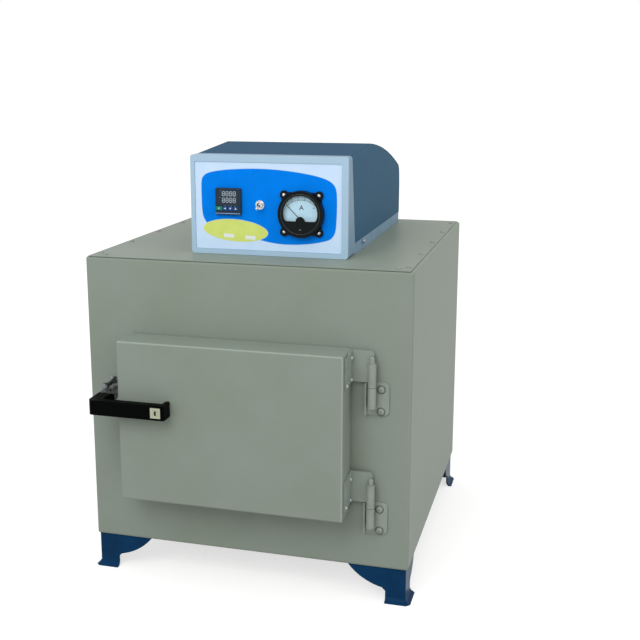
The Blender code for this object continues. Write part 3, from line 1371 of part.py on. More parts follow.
def makeElectronics():
    floor = CASE_LOW + CASE_T + GAP
    size = TRANSFORMER_SIZE
    x = CASE_X - ELECTRONICS_X
    y = HOOD_FRONT + CASE_D / 2
    core = box("control_transformer", (x - size / 2, x + size / 2), (y, y + size / 2), (floor, floor + size))
    coil = rod("transformer winding", TRANSFORMER_COIL_R, (x, y - TRANSFORMER_COIL_PROUD, floor + size / 2),
               (x, y + size / 2 + TRANSFORMER_COIL_PROUD, floor + size / 2), True)
    join(core, coil)
    paint(core, "copper winding")
    x = CASE_X + ELECTRONICS_X
    sink = box("triac_heat_sink", (x - HEAT_SINK_W / 2, x + HEAT_SINK_W / 2), (y, y + HEAT_SINK_D),
               (floor, floor + HEAT_SINK_H))
    pitch = (HEAT_SINK_W - FIN_T) / (FIN_COUNT - 1)
    for index in range(FIN_COUNT - 1):
        low = x - HEAT_SINK_W / 2 + FIN_T + index * pitch
        gap = box(f"fin cutter {index}", (low, low + pitch - FIN_T), (y - OVERRUN, y + HEAT_SINK_D + OVERRUN),
                  (floor + HEAT_SINK_FOOT, floor + HEAT_SINK_H + OVERRUN), True)
        cut(sink, gap)
    paint(sink, "heat sink")


def makeDoor():
    hinge = pivotFrame("door hinge axis", HINGE_AXIS)
    carry(hinge, makeDoorShell(), makeDoorInsulation(), makeDoorFrame(), makeDoorSeal(),
          makeHingeArm("hinge_arm_upper", UPPER_SPLIT), makeHingeArm("hinge_arm_lower", LOWER_SPLIT),
          makeLatchBracket(), makePivotPin(), *makeAdjustBolt())
    latch = pivotFrame("latch axis", PIVOT, hinge)
    frame, cylinder = makeLock()
    carry(latch, makeLever(), frame)
    lock = pivotFrame("lock axis", Vector((LOCK_X, LEVER_FACE, LOCK_Z)), latch)
    carry(lock, cylinder)


def makeFurnace():
    makeCabinetShell()
    makeTopPanel()
    makeRearCover()
    makeGland()
    makeLegs()
    makeThermocoupleHole()
    makeMouth()
    makeMuffle()
    makeInsulation()
    makeHearth()
    makeHeatingElements()
    makeThermocouple()
    makeTerminalBlock()
    for level, split in (("upper", UPPER_SPLIT), ("lower", LOWER_SPLIT)):
        makeHingeLeaf(f"hinge_leaf_{level}", split)
        makeHingePin(f"hinge_pin_{level}", split)
        for side, place in zip(("top", "bottom"), leafScrewPlaces(split)):
            makeLeafScrew(f"leaf_screw_{level}_{side}", place)
    makeKeeper()
    makeDoor()
    makeCaseBase()
    makeCaseCover()
    makeBezel()
    makePanel()
    makeTempController()
    makeAmmeter()
    makeToggle()
    makeElectronics()


clearScene()
PARTS = makeCollection(COLLECTION)
CUTTERS = makeCollection("cutters")
makeMaterials()
makeFurnace()
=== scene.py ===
# Electric resistance furnace with its controller: looks, small hardware, light and camera
import math
import bmesh
import bpy
from mathutils import Matrix, Vector


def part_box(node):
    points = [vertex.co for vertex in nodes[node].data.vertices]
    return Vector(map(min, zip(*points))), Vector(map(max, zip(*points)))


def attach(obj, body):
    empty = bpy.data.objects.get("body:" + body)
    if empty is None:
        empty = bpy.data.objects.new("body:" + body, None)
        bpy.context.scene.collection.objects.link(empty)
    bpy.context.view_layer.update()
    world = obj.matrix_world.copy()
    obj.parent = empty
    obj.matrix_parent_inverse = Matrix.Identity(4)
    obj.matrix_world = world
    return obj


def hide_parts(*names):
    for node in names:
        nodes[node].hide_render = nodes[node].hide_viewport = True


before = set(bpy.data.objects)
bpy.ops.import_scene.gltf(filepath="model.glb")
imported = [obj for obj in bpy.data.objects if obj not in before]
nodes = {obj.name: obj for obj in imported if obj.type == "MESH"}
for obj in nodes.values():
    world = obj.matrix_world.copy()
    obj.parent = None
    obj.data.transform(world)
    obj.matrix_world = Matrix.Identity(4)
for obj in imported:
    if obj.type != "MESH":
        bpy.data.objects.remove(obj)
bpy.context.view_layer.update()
print("frame loaded:", len(nodes), "nodes")

mm = 0.001
quarter = math.radians(90)


def paint(code):  # sRGB hex to the linear colour that the shader wants
    parts = [int(code[i:i + 2], 16) / 255 for i in (0, 2, 4)]
    return tuple(p / 12.92 if p <= 0.04045 else ((p + 0.055) / 1.055) ** 2.4 for p in parts) + (1.0,)


def addNode(tree, kind, values=None, links=None, **settings):
    node = tree.nodes.new(kind)
    for name, value in settings.items():
        setattr(node, name, value)
    for socket, value in (values or {}).items():
        node.inputs[socket].default_value = value
    for socket, source in (links or {}).items():  # a node given as a source stands for its first output
        output = source.outputs[0] if isinstance(source, bpy.types.Node) else source
        tree.links.new(output, node.inputs[socket])
    return node


# Every finish: colour, and deep = the darker tone of its uneven patches; rough, and how far it wanders;
# spec = how much of the white room its face gives back, lower where dust and texture swallow it;
# in mm: grain = width of its surface texture, depth = height of that texture, patch = size of the patches.
# Where a finish leaves a value out, it has the usual one. A small stretch gives long marks.
usual = dict(spec=0.5, wander=0.05, depth=0.01, metallic=0.0, alpha=1.0, stretch=(1, 1, 1))
finishes = {
    # polyester powder coat, sprayed and baked: satin, with the slight orange peel of powder
    # (2.5 mm, drawn coarser than the real 1 mm)
    "cabinetPowderCoat": dict(
        colour="8E988F", deep="899386", spec=0.05, rough=0.42, grain=2.5, depth=0.03, patch=160),
    # the same coat on the door's folded sheet, with a painted highlight: paler along its right and top folds
    "doorPowderCoat": dict(
        colour="8E988F", deep="899386", spec=0.05, rough=0.42, grain=2.5, depth=0.03, patch=160,
        rim="A6B2A8", rimDeep="9EAAA0", rimBack=(1.5, 4.0), rimSide=(0.8, 2.8), rimTop=(0.5, 1.8)),
    # painted shadow: dark rings round the hinge screw heads, in the place of the shade there
    "paintedShadowRing": dict(
        colour="667067", deep="525B53", spec=0.2, rough=0.5, wander=0.06, grain=1.0, depth=0.02, patch=4),
    # plain zinc-plated bolts of the hinge arms: pale, soft sheen
    "zincPlate": dict(
        colour="B9C3BC", deep="A6B0A9", spec=0.4, rough=0.30, wander=0.06, grain=1.0, patch=4,
        metallic=0.35),
    # powder coat on the small folded hinge parts, a touch lighter than the cabinet's coat
    "hingePowderCoat": dict(
        colour="97A198", deep="8C968C", spec=0.12, rough=0.38, grain=2.0, depth=0.03, patch=30),
    # gloss powder coat on the bent feet, dark blue, with soft reflections along the bends
    "legPowderCoat": dict(
        colour="0E3A60", deep="0C3152", spec=0.04, rough=0.30, grain=2.5, depth=0.03, patch=40),
    # injection-moulded ABS with a spark-eroded grain: even dull sheen, faint mottling
    # (1.8 mm grain, drawn coarser than the real 0.2 mm), and painted shade: darker on the upward faces,
    # against the stronger light there
    "hoodAbs": dict(
        colour="466A84", deep="43667F", paintedTopShade="33556F", spec=0.02, rough=0.62, grain=1.8, depth=0.05,
        patch=25, ior=1.54),
    # the same plastic, smooth moulded bezel, pale grey-blue, with a painted highlight: paler on its front
    # rim
    "bezelAbs": dict(
        colour="88A3B8", deep="829DB2", spec=0.05, rough=0.42, wander=0.04, grain=4.0, depth=0.02, patch=60,
        ior=1.54, rim="AECADF", rimDeep="A7C3D9", rimBack=(2.0, 6.0)),
    # the same plastic as the base tray, dusty along its length
    "baseAbs": dict(
        colour="88A3B8", deep="7F9AAE", spec=0.04, rough=0.52, grain=3.0, depth=0.03, patch=45, ior=1.54),
    # screen-printed aluminium panel sheet under a clear matt lacquer
    "panelSheet": dict(
        colour="D0E8FF", deep="CAE2FE", spec=0.06, rough=0.40, wander=0.03, grain=1.2, patch=45, ior=1.50),
    # screen-printing ink: flat film with a dry satin face
    "blueInk": dict(
        colour="0082F3", deep="007CE8", spec=0.03, rough=0.42, wander=0.04, grain=1.0, patch=30, ior=1.50),
    "yellowInk": dict(
        colour="D9E67E", deep="D2DF74", spec=0.06, rough=0.45, wander=0.04, grain=1.0, patch=20, ior=1.50),
    "whiteInk": dict(
        colour="E9EEF0", deep="E1E7EA", spec=0.3, rough=0.50, wander=0.04, grain=1.0, patch=15, ior=1.50),
    "paleInk": dict(
        colour="8FB9E6", deep="88B2E0", spec=0.08, rough=0.45, wander=0.04, grain=1.0, patch=15, ior=1.50),
    "blackInk": dict(
        colour="15191C", deep="101316", spec=0.1, rough=0.55, wander=0.04, grain=0.8, patch=8, ior=1.50),
    # hot-stamped trim foil: paler, slightly streaky
    "trimInk": dict(
        colour="9FBCE8", deep="7E99C4", spec=0.08, rough=0.40, grain=1.0, patch=9, ior=1.50),
    # moulded flame-retardant ABS of a panel instrument, dark blue-grey
    "moduleAbs": dict(
        colour="2B3A48", deep="263441", spec=0.08, rough=0.38, wander=0.04, grain=1.0, depth=0.02, patch=12,
        ior=1.54),
    # smoked acrylic lens behind the figures: glossy and dark
    "smokedAcrylic": dict(
        colour="2E3C48", deep="2A3743", spec=0.10, rough=0.12, wander=0.02, grain=6.0, depth=0.005,
        patch=15, ior=1.49),
    # cast figures in the lens, unlit, milky
    "figureSegments": dict(
        colour="A3B0B8", deep="98A6AE", spec=0.2, rough=0.40, wander=0.03, grain=1.0, depth=0.005, patch=6),
    # silicone rubber keys: matt, slightly dusty
    "keyBlueRubber": dict(
        colour="2C5088", deep="27487C", spec=0.10, rough=0.60, grain=0.8, depth=0.02, patch=6, ior=1.43),
    "keyGreenRubber": dict(
        colour="238071", deep="1E7466", spec=0.10, rough=0.60, grain=0.8, depth=0.02, patch=6, ior=1.43),
    # compression-moulded phenolic of the meter case: black, fairly glossy
    "meterPhenolic": dict(
        colour="0E1213", deep="0B0F10", spec=0.08, rough=0.28, grain=3.0, depth=0.02, patch=20, ior=1.60),
    # the same phenolic, lighter on a fine ring round the cover: a painted highlight
    "highlightRingPhenolic": dict(
        colour="3A4547", deep="2E3839", spec=0.30, rough=0.18, wander=0.04, grain=3.0, patch=12, ior=1.60),
    # glass-filled nylon lever: near black, satin, with a fine moulded skin
    "leverNylon": dict(
        colour="040505", deep="020303", spec=0.02, rough=0.38, wander=0.06, grain=2.0, depth=0.03, patch=25,
        ior=1.53),
    # nylon cable gland: dark, semi-matt
    "glandNylon": dict(
        colour="16181A", deep="121415", spec=0.2, rough=0.45, grain=1.5, depth=0.02, patch=10, ior=1.53),
    # printed paper dial: dead matt with a faint fibre
    "dialCard": dict(
        colour="C4EAFC", deep="BEE4F6", spec=0.1, rough=0.80, grain=0.6, patch=9),
    # stoved enamel on the aluminium pointer: black, semi-matt
    "needlePaint": dict(
        colour="0E1012", deep="0A0C0E", spec=0.15, rough=0.45, wander=0.04, grain=1.0, depth=0.005,
        patch=4),
    # bright nickel plate on screws: sharp, lightly clouded
    "nickelPlate": dict(
        colour="C4C6C4", deep="A9ACAA", rough=0.20, wander=0.06, grain=1.2, patch=4, metallic=1.0),
    # chrome plate on the latch hardware: its dark tone and the bright and dark streaks along it, front to
    # back, are painted reflections
    "chromePaintedReflections": dict(
        colour="8C9294", deep="1F2426", rough=0.18, grain=3.0, patch=5, metallic=1.0,
        stretch=(1.0, 0.12, 1.0)),
    # bright chrome of the toggle switch, clouded by handling
    "toggleChrome": dict(
        colour="F2F5F6", deep="B4B3B0", rough=0.22, grain=2.0, patch=5, metallic=1.0),
    # brushed stainless steel sheet: long fine scratches from left to right
    "brushedSteel": dict(
        colour="A3A6A3", deep="8B8E8C", rough=0.34, wander=0.12, grain=0.9, depth=0.02, patch=3,
        metallic=1.0, stretch=(0.04, 1.0, 1.0)),
    # nickel-plated zinc lock, slightly yellowed, turned face
    "lockZinc": dict(
        colour="B4B79F", deep="A1A48D", rough=0.36, wander=0.08, grain=0.8, patch=3, metallic=0.55),
    # iron-chrome-aluminium resistance wire with its fired oxide: dull grey-brown
    "resistanceWire": dict(
        colour="5B544D", deep="3F3A36", rough=0.62, wander=0.10, grain=0.8, depth=0.04, patch=5,
        metallic=0.8),
    # pressed alumina firebrick: chalky, open pores, sandy colour
    "firebrick": dict(
        colour="D8CDB6", deep="C6B89C", rough=0.92, grain=2.2, depth=0.45, patch=28, cells=True),
    # ceramic fibre board: white felt, soft and lumpy
    "ceramicFibre": dict(
        colour="E6E2D8", deep="DAD5C8", rough=0.97, wander=0.02, grain=3.5, depth=0.5, patch=22),
    # glazed porcelain: off-white under a clear glaze, small waves in the gloss
    "glazedPorcelain": dict(
        colour="E4DFD0", deep="DAD3C1", rough=0.16, grain=5.0, depth=0.04, patch=14, ior=1.52),
    # enamelled copper winding: warm, semi-gloss, ridged by its turns
    "copperWinding": dict(
        colour="B5642F", deep="8C4A22", rough=0.38, wander=0.08, grain=1.2, depth=0.12, patch=8,
        metallic=0.9, stretch=(0.05, 0.05, 1.0)),
    # extruded aluminium heat sink, clear anodised: matt metal with die lines
    "anodisedAluminium": dict(
        colour="A9ADB1", deep="9CA0A5", rough=0.45, wander=0.06, grain=0.8, depth=0.02, patch=10,
        metallic=1.0, stretch=(1.0, 0.04, 1.0)),
    # braided glass-fibre rope: dull off-white, diagonal plait 3 mm wide
    "braidedRope": dict(
        colour="D6D0BF", deep="B9B19D", rough=0.95, wander=0.03, grain=3.0, depth=0.5, patch=12,
        plait=True),
    # clear acrylic meter cover: mostly seen through, with a thin glare
    "clearAcrylic": dict(
        colour="EAF4FA", deep="E4EFF6", spec=0.15, rough=0.04, wander=0.02, grain=8.0, depth=0.004,
        patch=20, ior=1.49, alpha=0.035),
}
# Shared by all finishes: soft edges of the patches, their noise, and the slope from which a face gets the
# painted top shade
weave = dict(toneEnds=(0.32, 0.68), patchDetail=4, patchRough=0.6, grainDetail=2, plaitSlack=0.6,
             paintedTopShade=(0.3, 0.95))


def setTones(ramp, deep, colour):
    ramp.elements[0].color = paint(deep)
    ramp.elements[1].color = paint(colour)


def makeFinish(name, own):
    look = {**usual, **own}
    made = bpy.data.materials.new(name)
    made.use_nodes = True
    tree = made.node_tree
    shader = tree.nodes["Principled BSDF"]
    shader.inputs["Metallic"].default_value = look["metallic"]
    shader.inputs["Specular IOR Level"].default_value = look["spec"]
    shader.inputs["Alpha"].default_value = look["alpha"]
    if "ior" in look:
        shader.inputs["IOR"].default_value = look["ior"]
    coords = addNode(tree, "ShaderNodeTexCoord").outputs["Object"]
    placed = {"Vector": addNode(tree, "ShaderNodeMapping", {"Scale": look["stretch"]}, {"Vector": coords})}
    size = 1 / (look["patch"] * mm)
    cloud = {"Scale": size, "Detail": weave["patchDetail"], "Roughness": weave["patchRough"]}
    patches = addNode(tree, "ShaderNodeTexNoise", cloud, placed)
    tones = addNode(tree, "ShaderNodeValToRGB", None, {"Fac": patches})
    for element, place in zip(tones.color_ramp.elements, weave["toneEnds"]):
        element.position = place
    setTones(tones.color_ramp, look["deep"], look["colour"])
    tone = tones.outputs["Color"]
    if "rim" in look:  # painted highlight: paler round the front, or only along two of its folds
        rimTones = addNode(tree, "ShaderNodeValToRGB", None, {"Fac": patches})
        setTones(rimTones.color_ramp, look["rimDeep"], look["rim"])
        split = addNode(tree, "ShaderNodeSeparateXYZ", None, {0: coords})
        low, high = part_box("door_shell" if "rimSide" in look else "controller_bezel")
        near, far = look["rimBack"]
        limits = {"From Min": low.y + near * mm, "From Max": low.y + far * mm}
        away = addNode(tree, "ShaderNodeMapRange", limits, {"Value": split.outputs["Y"]})
        if "rimSide" in look:
            inside = []
            for axis, edge, (near, far) in (("X", high.x, look["rimSide"]), ("Z", high.z, look["rimTop"])):
                limits = {"From Min": edge - near * mm, "From Max": edge - far * mm}
                inside.append(addNode(tree, "ShaderNodeMapRange", limits, {"Value": split.outputs[axis]}))
            inner = addNode(tree, "ShaderNodeMath", None, {0: inside[0], 1: inside[1]}, operation="MINIMUM")
            away = addNode(tree, "ShaderNodeMath", None, {0: away, 1: inner}, operation="MAXIMUM")
        tone = addNode(tree, "ShaderNodeMix", None, {0: away, 6: rimTones.outputs["Color"], 7: tone},
                       data_type="RGBA").outputs[2]
    if "paintedTopShade" in look:  # painted shade: the upward face is painted darker, to offset the stronger light on it
        facing = addNode(tree, "ShaderNodeNewGeometry")
        split = addNode(tree, "ShaderNodeSeparateXYZ", None, {0: facing.outputs["Normal"]})
        limits = {"From Min": weave["paintedTopShade"][0], "From Max": weave["paintedTopShade"][1]}
        up = addNode(tree, "ShaderNodeMapRange", limits, {"Value": split.outputs["Z"]})
        tone = addNode(tree, "ShaderNodeMix", {7: paint(look["paintedTopShade"])}, {0: up, 6: tone},
                       data_type="RGBA").outputs[2]
    tree.links.new(tone, shader.inputs["Base Color"])
    limits = {"To Min": look["rough"] - look["wander"], "To Max": look["rough"] + look["wander"]}
    dull = addNode(tree, "ShaderNodeMapRange", limits, {"Value": patches})
    tree.links.new(dull.outputs["Result"], shader.inputs["Roughness"])
    size = 1 / (look["grain"] * mm)
    if look.get("cells"):
        grain = addNode(tree, "ShaderNodeTexVoronoi", {"Scale": size}, placed)
    elif look.get("plait"):
        plait = {"Scale": size / 3, "Distortion": weave["plaitSlack"], "Detail": 1}
        grain = addNode(tree, "ShaderNodeTexWave", plait, placed, bands_direction="DIAGONAL").outputs["Fac"]
    else:
        grain = addNode(tree, "ShaderNodeTexNoise", {"Scale": size, "Detail": weave["grainDetail"]}, placed)
    height = {"Strength": 1.0, "Distance": look["depth"] * mm}
    relief = addNode(tree, "ShaderNodeBump", height, {"Height": grain})
    tree.links.new(relief.outputs["Normal"], shader.inputs["Normal"])
    return made


finish = {name: makeFinish(name, look) for name, look in finishes.items()}
print("finishes made:", len(finish))

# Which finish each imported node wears
levels = ("upper", "lower")
hingeParts = [f"hinge_{part}_{level}" for part in ("leaf", "pin", "arm") for level in levels]
leafScrews = [f"{level}_{end}" for level in levels for end in ("top", "bottom")]
coilPlaces = [f"{side}_{level}" for side in ("left", "right") for level in levels]
wears = {
    "cabinetPowderCoat": ["cabinet_shell", "top_panel", "rear_cover"],
    "doorPowderCoat": ["door_shell"],
    "hingePowderCoat": hingeParts + ["leaf_screw_" + name for name in leafScrews],
    "legPowderCoat": ["leg_front_left", "leg_front_right", "leg_rear_left", "leg_rear_right"],
    "hoodAbs": ["controller_cover"],
    "bezelAbs": ["controller_bezel"],
    "baseAbs": ["controller_base"],
    "panelSheet": ["control_panel"],
    "moduleAbs": ["temp_controller"],
    "smokedAcrylic": ["temp_display"],
    "keyBlueRubber": ["key_shift", "key_down", "key_up"],
    "keyGreenRubber": ["key_set"],
    "meterPhenolic": ["ammeter_case", "zero_adjuster"],
    "dialCard": ["ammeter_dial"],
    "clearAcrylic": ["ammeter_cover"],
    "needlePaint": ["ammeter_needle"],
    "toggleChrome": ["toggle_nut", "toggle_lever", "toggle_body"],
    "chromePaintedReflections": ["latch_adjust_bolt", "latch_adjust_nut", "latch_pivot_pin"],
    "brushedSteel": ["latch_bracket", "latch_keeper", "door_back_frame", "thermocouple"],
    "leverNylon": ["latch_lever"],
    "lockZinc": ["lock_plate", "lock_cylinder"],
    "firebrick": ["muffle", "furnace_mouth", "hearth_plate"],
    "ceramicFibre": ["insulation_block", "door_insulation"],
    "resistanceWire": ["heating_element_" + name for name in coilPlaces],
    "glazedPorcelain": ["terminal_block"],
    "copperWinding": ["control_transformer"],
    "anodisedAluminium": ["triac_heat_sink"],
    "glandNylon": ["power_inlet_gland"],
    "braidedRope": ["door_seal"],
}
for name, members in wears.items():
    for member in members:
        shell = nodes[member].data
        shell.materials.clear()
        shell.materials.append(finish[name])
worn = {member for members in wears.values() for member in members}
print("nodes without a finish:", sorted(set(nodes) - worn))


def linked(name, data):
    thing = bpy.data.objects.new(name, data)
    bpy.context.scene.collection.objects.link(thing)
    return thing


def carried(piece, body):
    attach(piece, body)
    return piece


def addPiece(name, mesh, body, look):
    piece = linked(name, mesh)
    mesh.materials.clear()
    mesh.materials.append(finish[look])
    return carried(piece, body)


def newTree(name, inputs):  # inputs: label and default value; None stands for a material
    tree = bpy.data.node_groups.new(name, "GeometryNodeTree")
    tree.interface.new_socket("Geometry", in_out="INPUT", socket_type="NodeSocketGeometry")
    kinds = {float: "NodeSocketFloat", int: "NodeSocketInt", type(None): "NodeSocketMaterial"}
    for label, value in inputs.items():
        socket = tree.interface.new_socket(label, in_out="INPUT", socket_type=kinds[type(value)])
        if value is not None:
            socket.default_value = value
    tree.interface.new_socket("Geometry", in_out="OUTPUT", socket_type="NodeSocketGeometry")
    return tree, tree.nodes.new("NodeGroupInput").outputs, tree.nodes.new("NodeGroupOutput").inputs


def runTree(name, mesh, tree, values):  # the evaluated result becomes a plain mesh, and the modifier goes
    piece = linked(name, mesh)
    modifier = piece.modifiers.new("build", "NODES")
    modifier.node_group = tree
    for item in tree.interface.items_tree:
        if item.item_type == "SOCKET" and item.in_out == "INPUT" and item.name in values:
            modifier[item.identifier] = values[item.name]
    bpy.context.view_layer.update()
    result = bpy.data.meshes.new_from_object(piece.evaluated_get(bpy.context.evaluated_depsgraph_get()))
    piece.modifiers.clear()
    piece.data = result
    return piece


def pointMesh(name, attribute, places):  # a point for each place, with the vector that turns it
    mesh = bpy.data.meshes.new(name)
    mesh.from_pydata([place for place, vector in places], [], [])
    vectors = [value for place, vector in places for value in vector]
    mesh.attributes.new(attribute, "FLOAT_VECTOR", "POINT").data.foreach_set("vector", vectors)
    return mesh


def dress(tree, geometry, entry, out, smooth=True):  # the end of every tree: real meshes and their material
    real = addNode(tree, "GeometryNodeRealizeInstances", None, {0: geometry})
    if smooth:
        real = addNode(tree, "GeometryNodeSetShadeSmooth", None, {0: real})
    worn = {"Geometry": real, "Material": entry["Material"]}
    dressed = addNode(tree, "GeometryNodeSetMaterial", None, worn)
    tree.links.new(dressed.outputs[0], out[0])


# Domed screw and rivet heads, one for each point, turned to its facing; the slots point at random.
# A blade some radii long cuts the slot, from a middle some dome heights up, lowered by the slot's depth.
domes = dict(rings=12, bladeLong=3.0, bladeLift=1.5)


def headTree():
    inputs = {"Radius": 0.004, "Height": 0.002, "Slot Width": 0.001, "Slot Depth": 0.0, "Segments": 20,
              "Seed": 3, "Material": None}
    tree, entry, out = newTree("screw heads", inputs)
    radius, height = entry["Radius"], entry["Height"]
    ball = addNode(tree, "GeometryNodeMeshUVSphere", {"Rings": domes["rings"], "Radius": 1.0},
                   {"Segments": entry["Segments"]})
    size = addNode(tree, "ShaderNodeCombineXYZ", None, {0: radius, 1: radius, 2: height})
    dome = addNode(tree, "GeometryNodeTransform", None, {"Geometry": ball, "Scale": size})
    place = addNode(tree, "GeometryNodeInputPosition")
    split = addNode(tree, "ShaderNodeSeparateXYZ", None, {0: place})
    footZ = addNode(tree, "ShaderNodeMath", {1: 0.0}, {0: split.outputs["Z"]}, operation="MAXIMUM")
    spot = {0: split.outputs["X"], 1: split.outputs["Y"], 2: footZ}
    flat = addNode(tree, "ShaderNodeCombineXYZ", None, spot)
    head = addNode(tree, "GeometryNodeSetPosition", None, {"Geometry": dome, "Position": flat})
    reach = addNode(tree, "ShaderNodeMath", {1: domes["bladeLong"]}, {0: radius}, operation="MULTIPLY")
    blade = addNode(tree, "ShaderNodeCombineXYZ", None, {0: reach, 1: entry["Slot Width"], 2: height})
    raised = addNode(tree, "ShaderNodeMath", {1: domes["bladeLift"]}, {0: height}, operation="MULTIPLY")
    middle = addNode(tree, "ShaderNodeMath", None, {0: raised, 1: entry["Slot Depth"]}, operation="SUBTRACT")
    over = addNode(tree, "ShaderNodeCombineXYZ", None, {2: middle})
    cube = addNode(tree, "GeometryNodeMeshCube", None, {"Size": blade})
    slot = addNode(tree, "GeometryNodeTransform", None, {"Geometry": cube, "Translation": over})
    cut = addNode(tree, "GeometryNodeMeshBoolean", None, {0: head, 1: slot}, operation="DIFFERENCE")
    facing = addNode(tree, "GeometryNodeInputNamedAttribute", {"Name": "facing"}, data_type="FLOAT_VECTOR")
    toward = {"Vector": facing.outputs["Attribute"]}
    aligned = addNode(tree, "FunctionNodeAlignRotationToVector", None, toward, axis="Z")
    half = {2: 0.0, 3: math.pi}
    spin = addNode(tree, "FunctionNodeRandomValue", half, {"Seed": entry["Seed"]}, data_type="FLOAT")
    turn = addNode(tree, "FunctionNodeAxisAngleToRotation", {"Axis": (0, 0, 1)}, {"Angle": spin.outputs[1]})
    turned = addNode(tree, "FunctionNodeRotateRotation", None, {0: aligned, 1: turn}, rotation_space="LOCAL")
    placed = addNode(tree, "GeometryNodeInstanceOnPoints", None,
                     {"Points": entry["Geometry"], "Instance": cut, "Rotation": turned})
    dress(tree, placed, entry, out)
    return tree


heads = headTree()


def placeHeads(name, places, size, look, body):  # a cut below 0 leaves the heads whole
    values = {"Radius": size["radius"] * mm, "Height": size["height"] * mm, "Slot Width": size["slot"] * mm,
              "Slot Depth": size["cut"] * mm, "Material": finish[look]}
    carried(runTree(name, pointMesh(name, "facing", places), heads, values), body)


# Roof panel screws, along its edge
roof = dict(radius=5.2, height=2.6, slot=1.2, cut=1.1, inset=15, pitch=134.7, first=35, rows=5,
            cornerInset=31, cornerBack=20)
shellLow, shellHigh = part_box("cabinet_shell")
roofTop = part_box("top_panel")[1].z
roofSpots = [(roof["inset"], roof["first"] + roof["pitch"] * step) for step in range(roof["rows"])]
roofSpots.append((roof["cornerInset"], roof["cornerBack"]))
roofPlaces = [((x, shellLow.y + back * mm, roofTop), (0, 0, 1)) for inset, back in roofSpots
              for x in (shellLow.x + inset * mm, shellHigh.x - inset * mm)]
placeHeads("roofScrews", roofPlaces, roof, "hingePowderCoat", "cabinet")

# Rear cover screws, the same count along each of its edges
cover = dict(radius=4.5, height=2.2, slot=1.1, cut=1.0, inset=10, count=4)
coverLow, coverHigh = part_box("rear_cover")
inset, last = cover["inset"] * mm, cover["count"] - 1
coverPlaces = []
for column in range(cover["count"]):
    for row in range(cover["count"]):
        if column in (0, last) or row in (0, last):
            x = coverLow.x + inset + (coverHigh.x - coverLow.x - 2 * inset) * column / last
            z = coverLow.z + inset + (coverHigh.z - coverLow.z - 2 * inset) * row / last
            coverPlaces.append(((x, coverHigh.y, z), (0, 1, 0)))
placeHeads("coverScrews", coverPlaces, cover, "nickelPlate", "cabinet")

# Rivets on the door's top edge
rivet = dict(radius=2.0, height=0.9, slot=0.1, cut=-0.3, inset=62, back=6)
doorLow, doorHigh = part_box("door_shell")
doorPlaces = [((x, doorLow.y + rivet["back"] * mm, doorHigh.z), (0, 0, 1))
              for x in (doorLow.x + rivet["inset"] * mm, doorHigh.x - rivet["inset"] * mm)]
placeHeads("doorRivets", doorPlaces, rivet, "hingePowderCoat", "door")

# Round-head bolts of each hinge arm: two through its wing and one on its tongue, each place given as
# the sheet's thickness there, the way back and the height
wing = dict(radius=3.4, height=3.6, slot=0.8, cut=-0.3,
            bolts=((3.0, 36, 50.6), (3.0, 36, 12.0), (1.5, 8, 9)))
for level in levels:
    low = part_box("hinge_arm_" + level)[0]
    wingPlaces = [((low.x + x * mm, low.y + y * mm, low.z + z * mm), (1, 0, 0))
                  for x, y, z in wing["bolts"]]
    placeHeads("armBolts_" + level, wingPlaces, wing, "zincPlate", "door")

# Screws in the lugs of the controller's base tray, one on each side
lug = dict(radius=3.4, height=1.8, slot=0.9, cut=0.8, y=-66.1, z=620.1)
baseLow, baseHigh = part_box("controller_base")
lugPlaces = [((x, lug["y"] * mm, lug["z"] * mm), (side, 0, 0))
             for x, side in ((baseLow.x, -1), (baseHigh.x, 1))]
placeHeads("trayScrews", lugPlaces, lug, "nickelPlate", "cabinet")
print("cabinet screws placed")

# Panel places: x from the bezel's left edge and z from its foot, in mm
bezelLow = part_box("controller_bezel")[0]
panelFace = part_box("control_panel")[0].y


def onPanel(x, z):
    return bezelLow.x + x * mm, bezelLow.z + z * mm


def middleOf(node):  # its middle in X and Z, and its front
    low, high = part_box(node)
    return (low.x + high.x) / 2, (low.z + high.z) / 2, low.y


def smoothLoop(points, steps):
    count = len(points)
    loop = []
    for index in range(count):
        a, b, c, d = (Vector(points[(index + k) % count]) for k in (-1, 0, 1, 2))
        for step in range(steps):
            t = step / steps
            first, second, third = c - a, 2 * a - 5 * b + 4 * c - d, 3 * b - a - 3 * c + d
            loop.append(0.5 * ((2 * b) + first * t + second * t * t + third * t ** 3))
    return loop


def circleLoop(x, z, radius, segments, start=0.0, end=360.0):
    count = segments if end - start >= 360 else segments + 1
    turns = [math.radians(start + (end - start) * k / segments) for k in range(count)]
    return [Vector((x + radius * math.cos(t), z + radius * math.sin(t))) for t in turns]


def settle(shape, mesh, weld=0.0):  # the faces go into the mesh, joined where they meet, facing outwards
    if weld:
        bmesh.ops.remove_doubles(shape, verts=shape.verts, dist=weld)
    bmesh.ops.recalc_face_normals(shape, faces=shape.faces)
    shape.to_mesh(mesh)
    shape.free()
    return mesh


def film(name, loops, face, thick):  # a thin piece in front of a face; later loops of X and Z are holes
    curve = bpy.data.curves.new(name, "CURVE")
    curve.dimensions = "2D"
    curve.fill_mode = "BOTH"
    curve.extrude = thick / 2
    for loop in loops:
        spline = curve.splines.new("POLY")
        spline.points.add(len(loop) - 1)
        spline.use_cyclic_u = True
        for point, place in zip(spline.points, loop):
            point.co = (place[0], place[1], 0, 1)
    drawn = bpy.data.objects.new(name, curve)
    mesh = bpy.data.meshes.new_from_object(drawn)
    bpy.data.objects.remove(drawn)
    upright = Matrix(((1, 0, 0, 0), (0, 0, -1, 0), (0, 1, 0, 0), (0, 0, 0, 1)))
    mesh.transform(Matrix.Translation((0, face - thick + thick / 2, 0)) @ upright)
    shape = bmesh.new()
    shape.from_mesh(mesh)
    settle(shape, mesh, 0.01 * mm)
    mesh.name = name
    return mesh


def addFilm(name, loops, face, thick, body, look):
    addPiece(name, film(name, loops, face, thick), body, look)


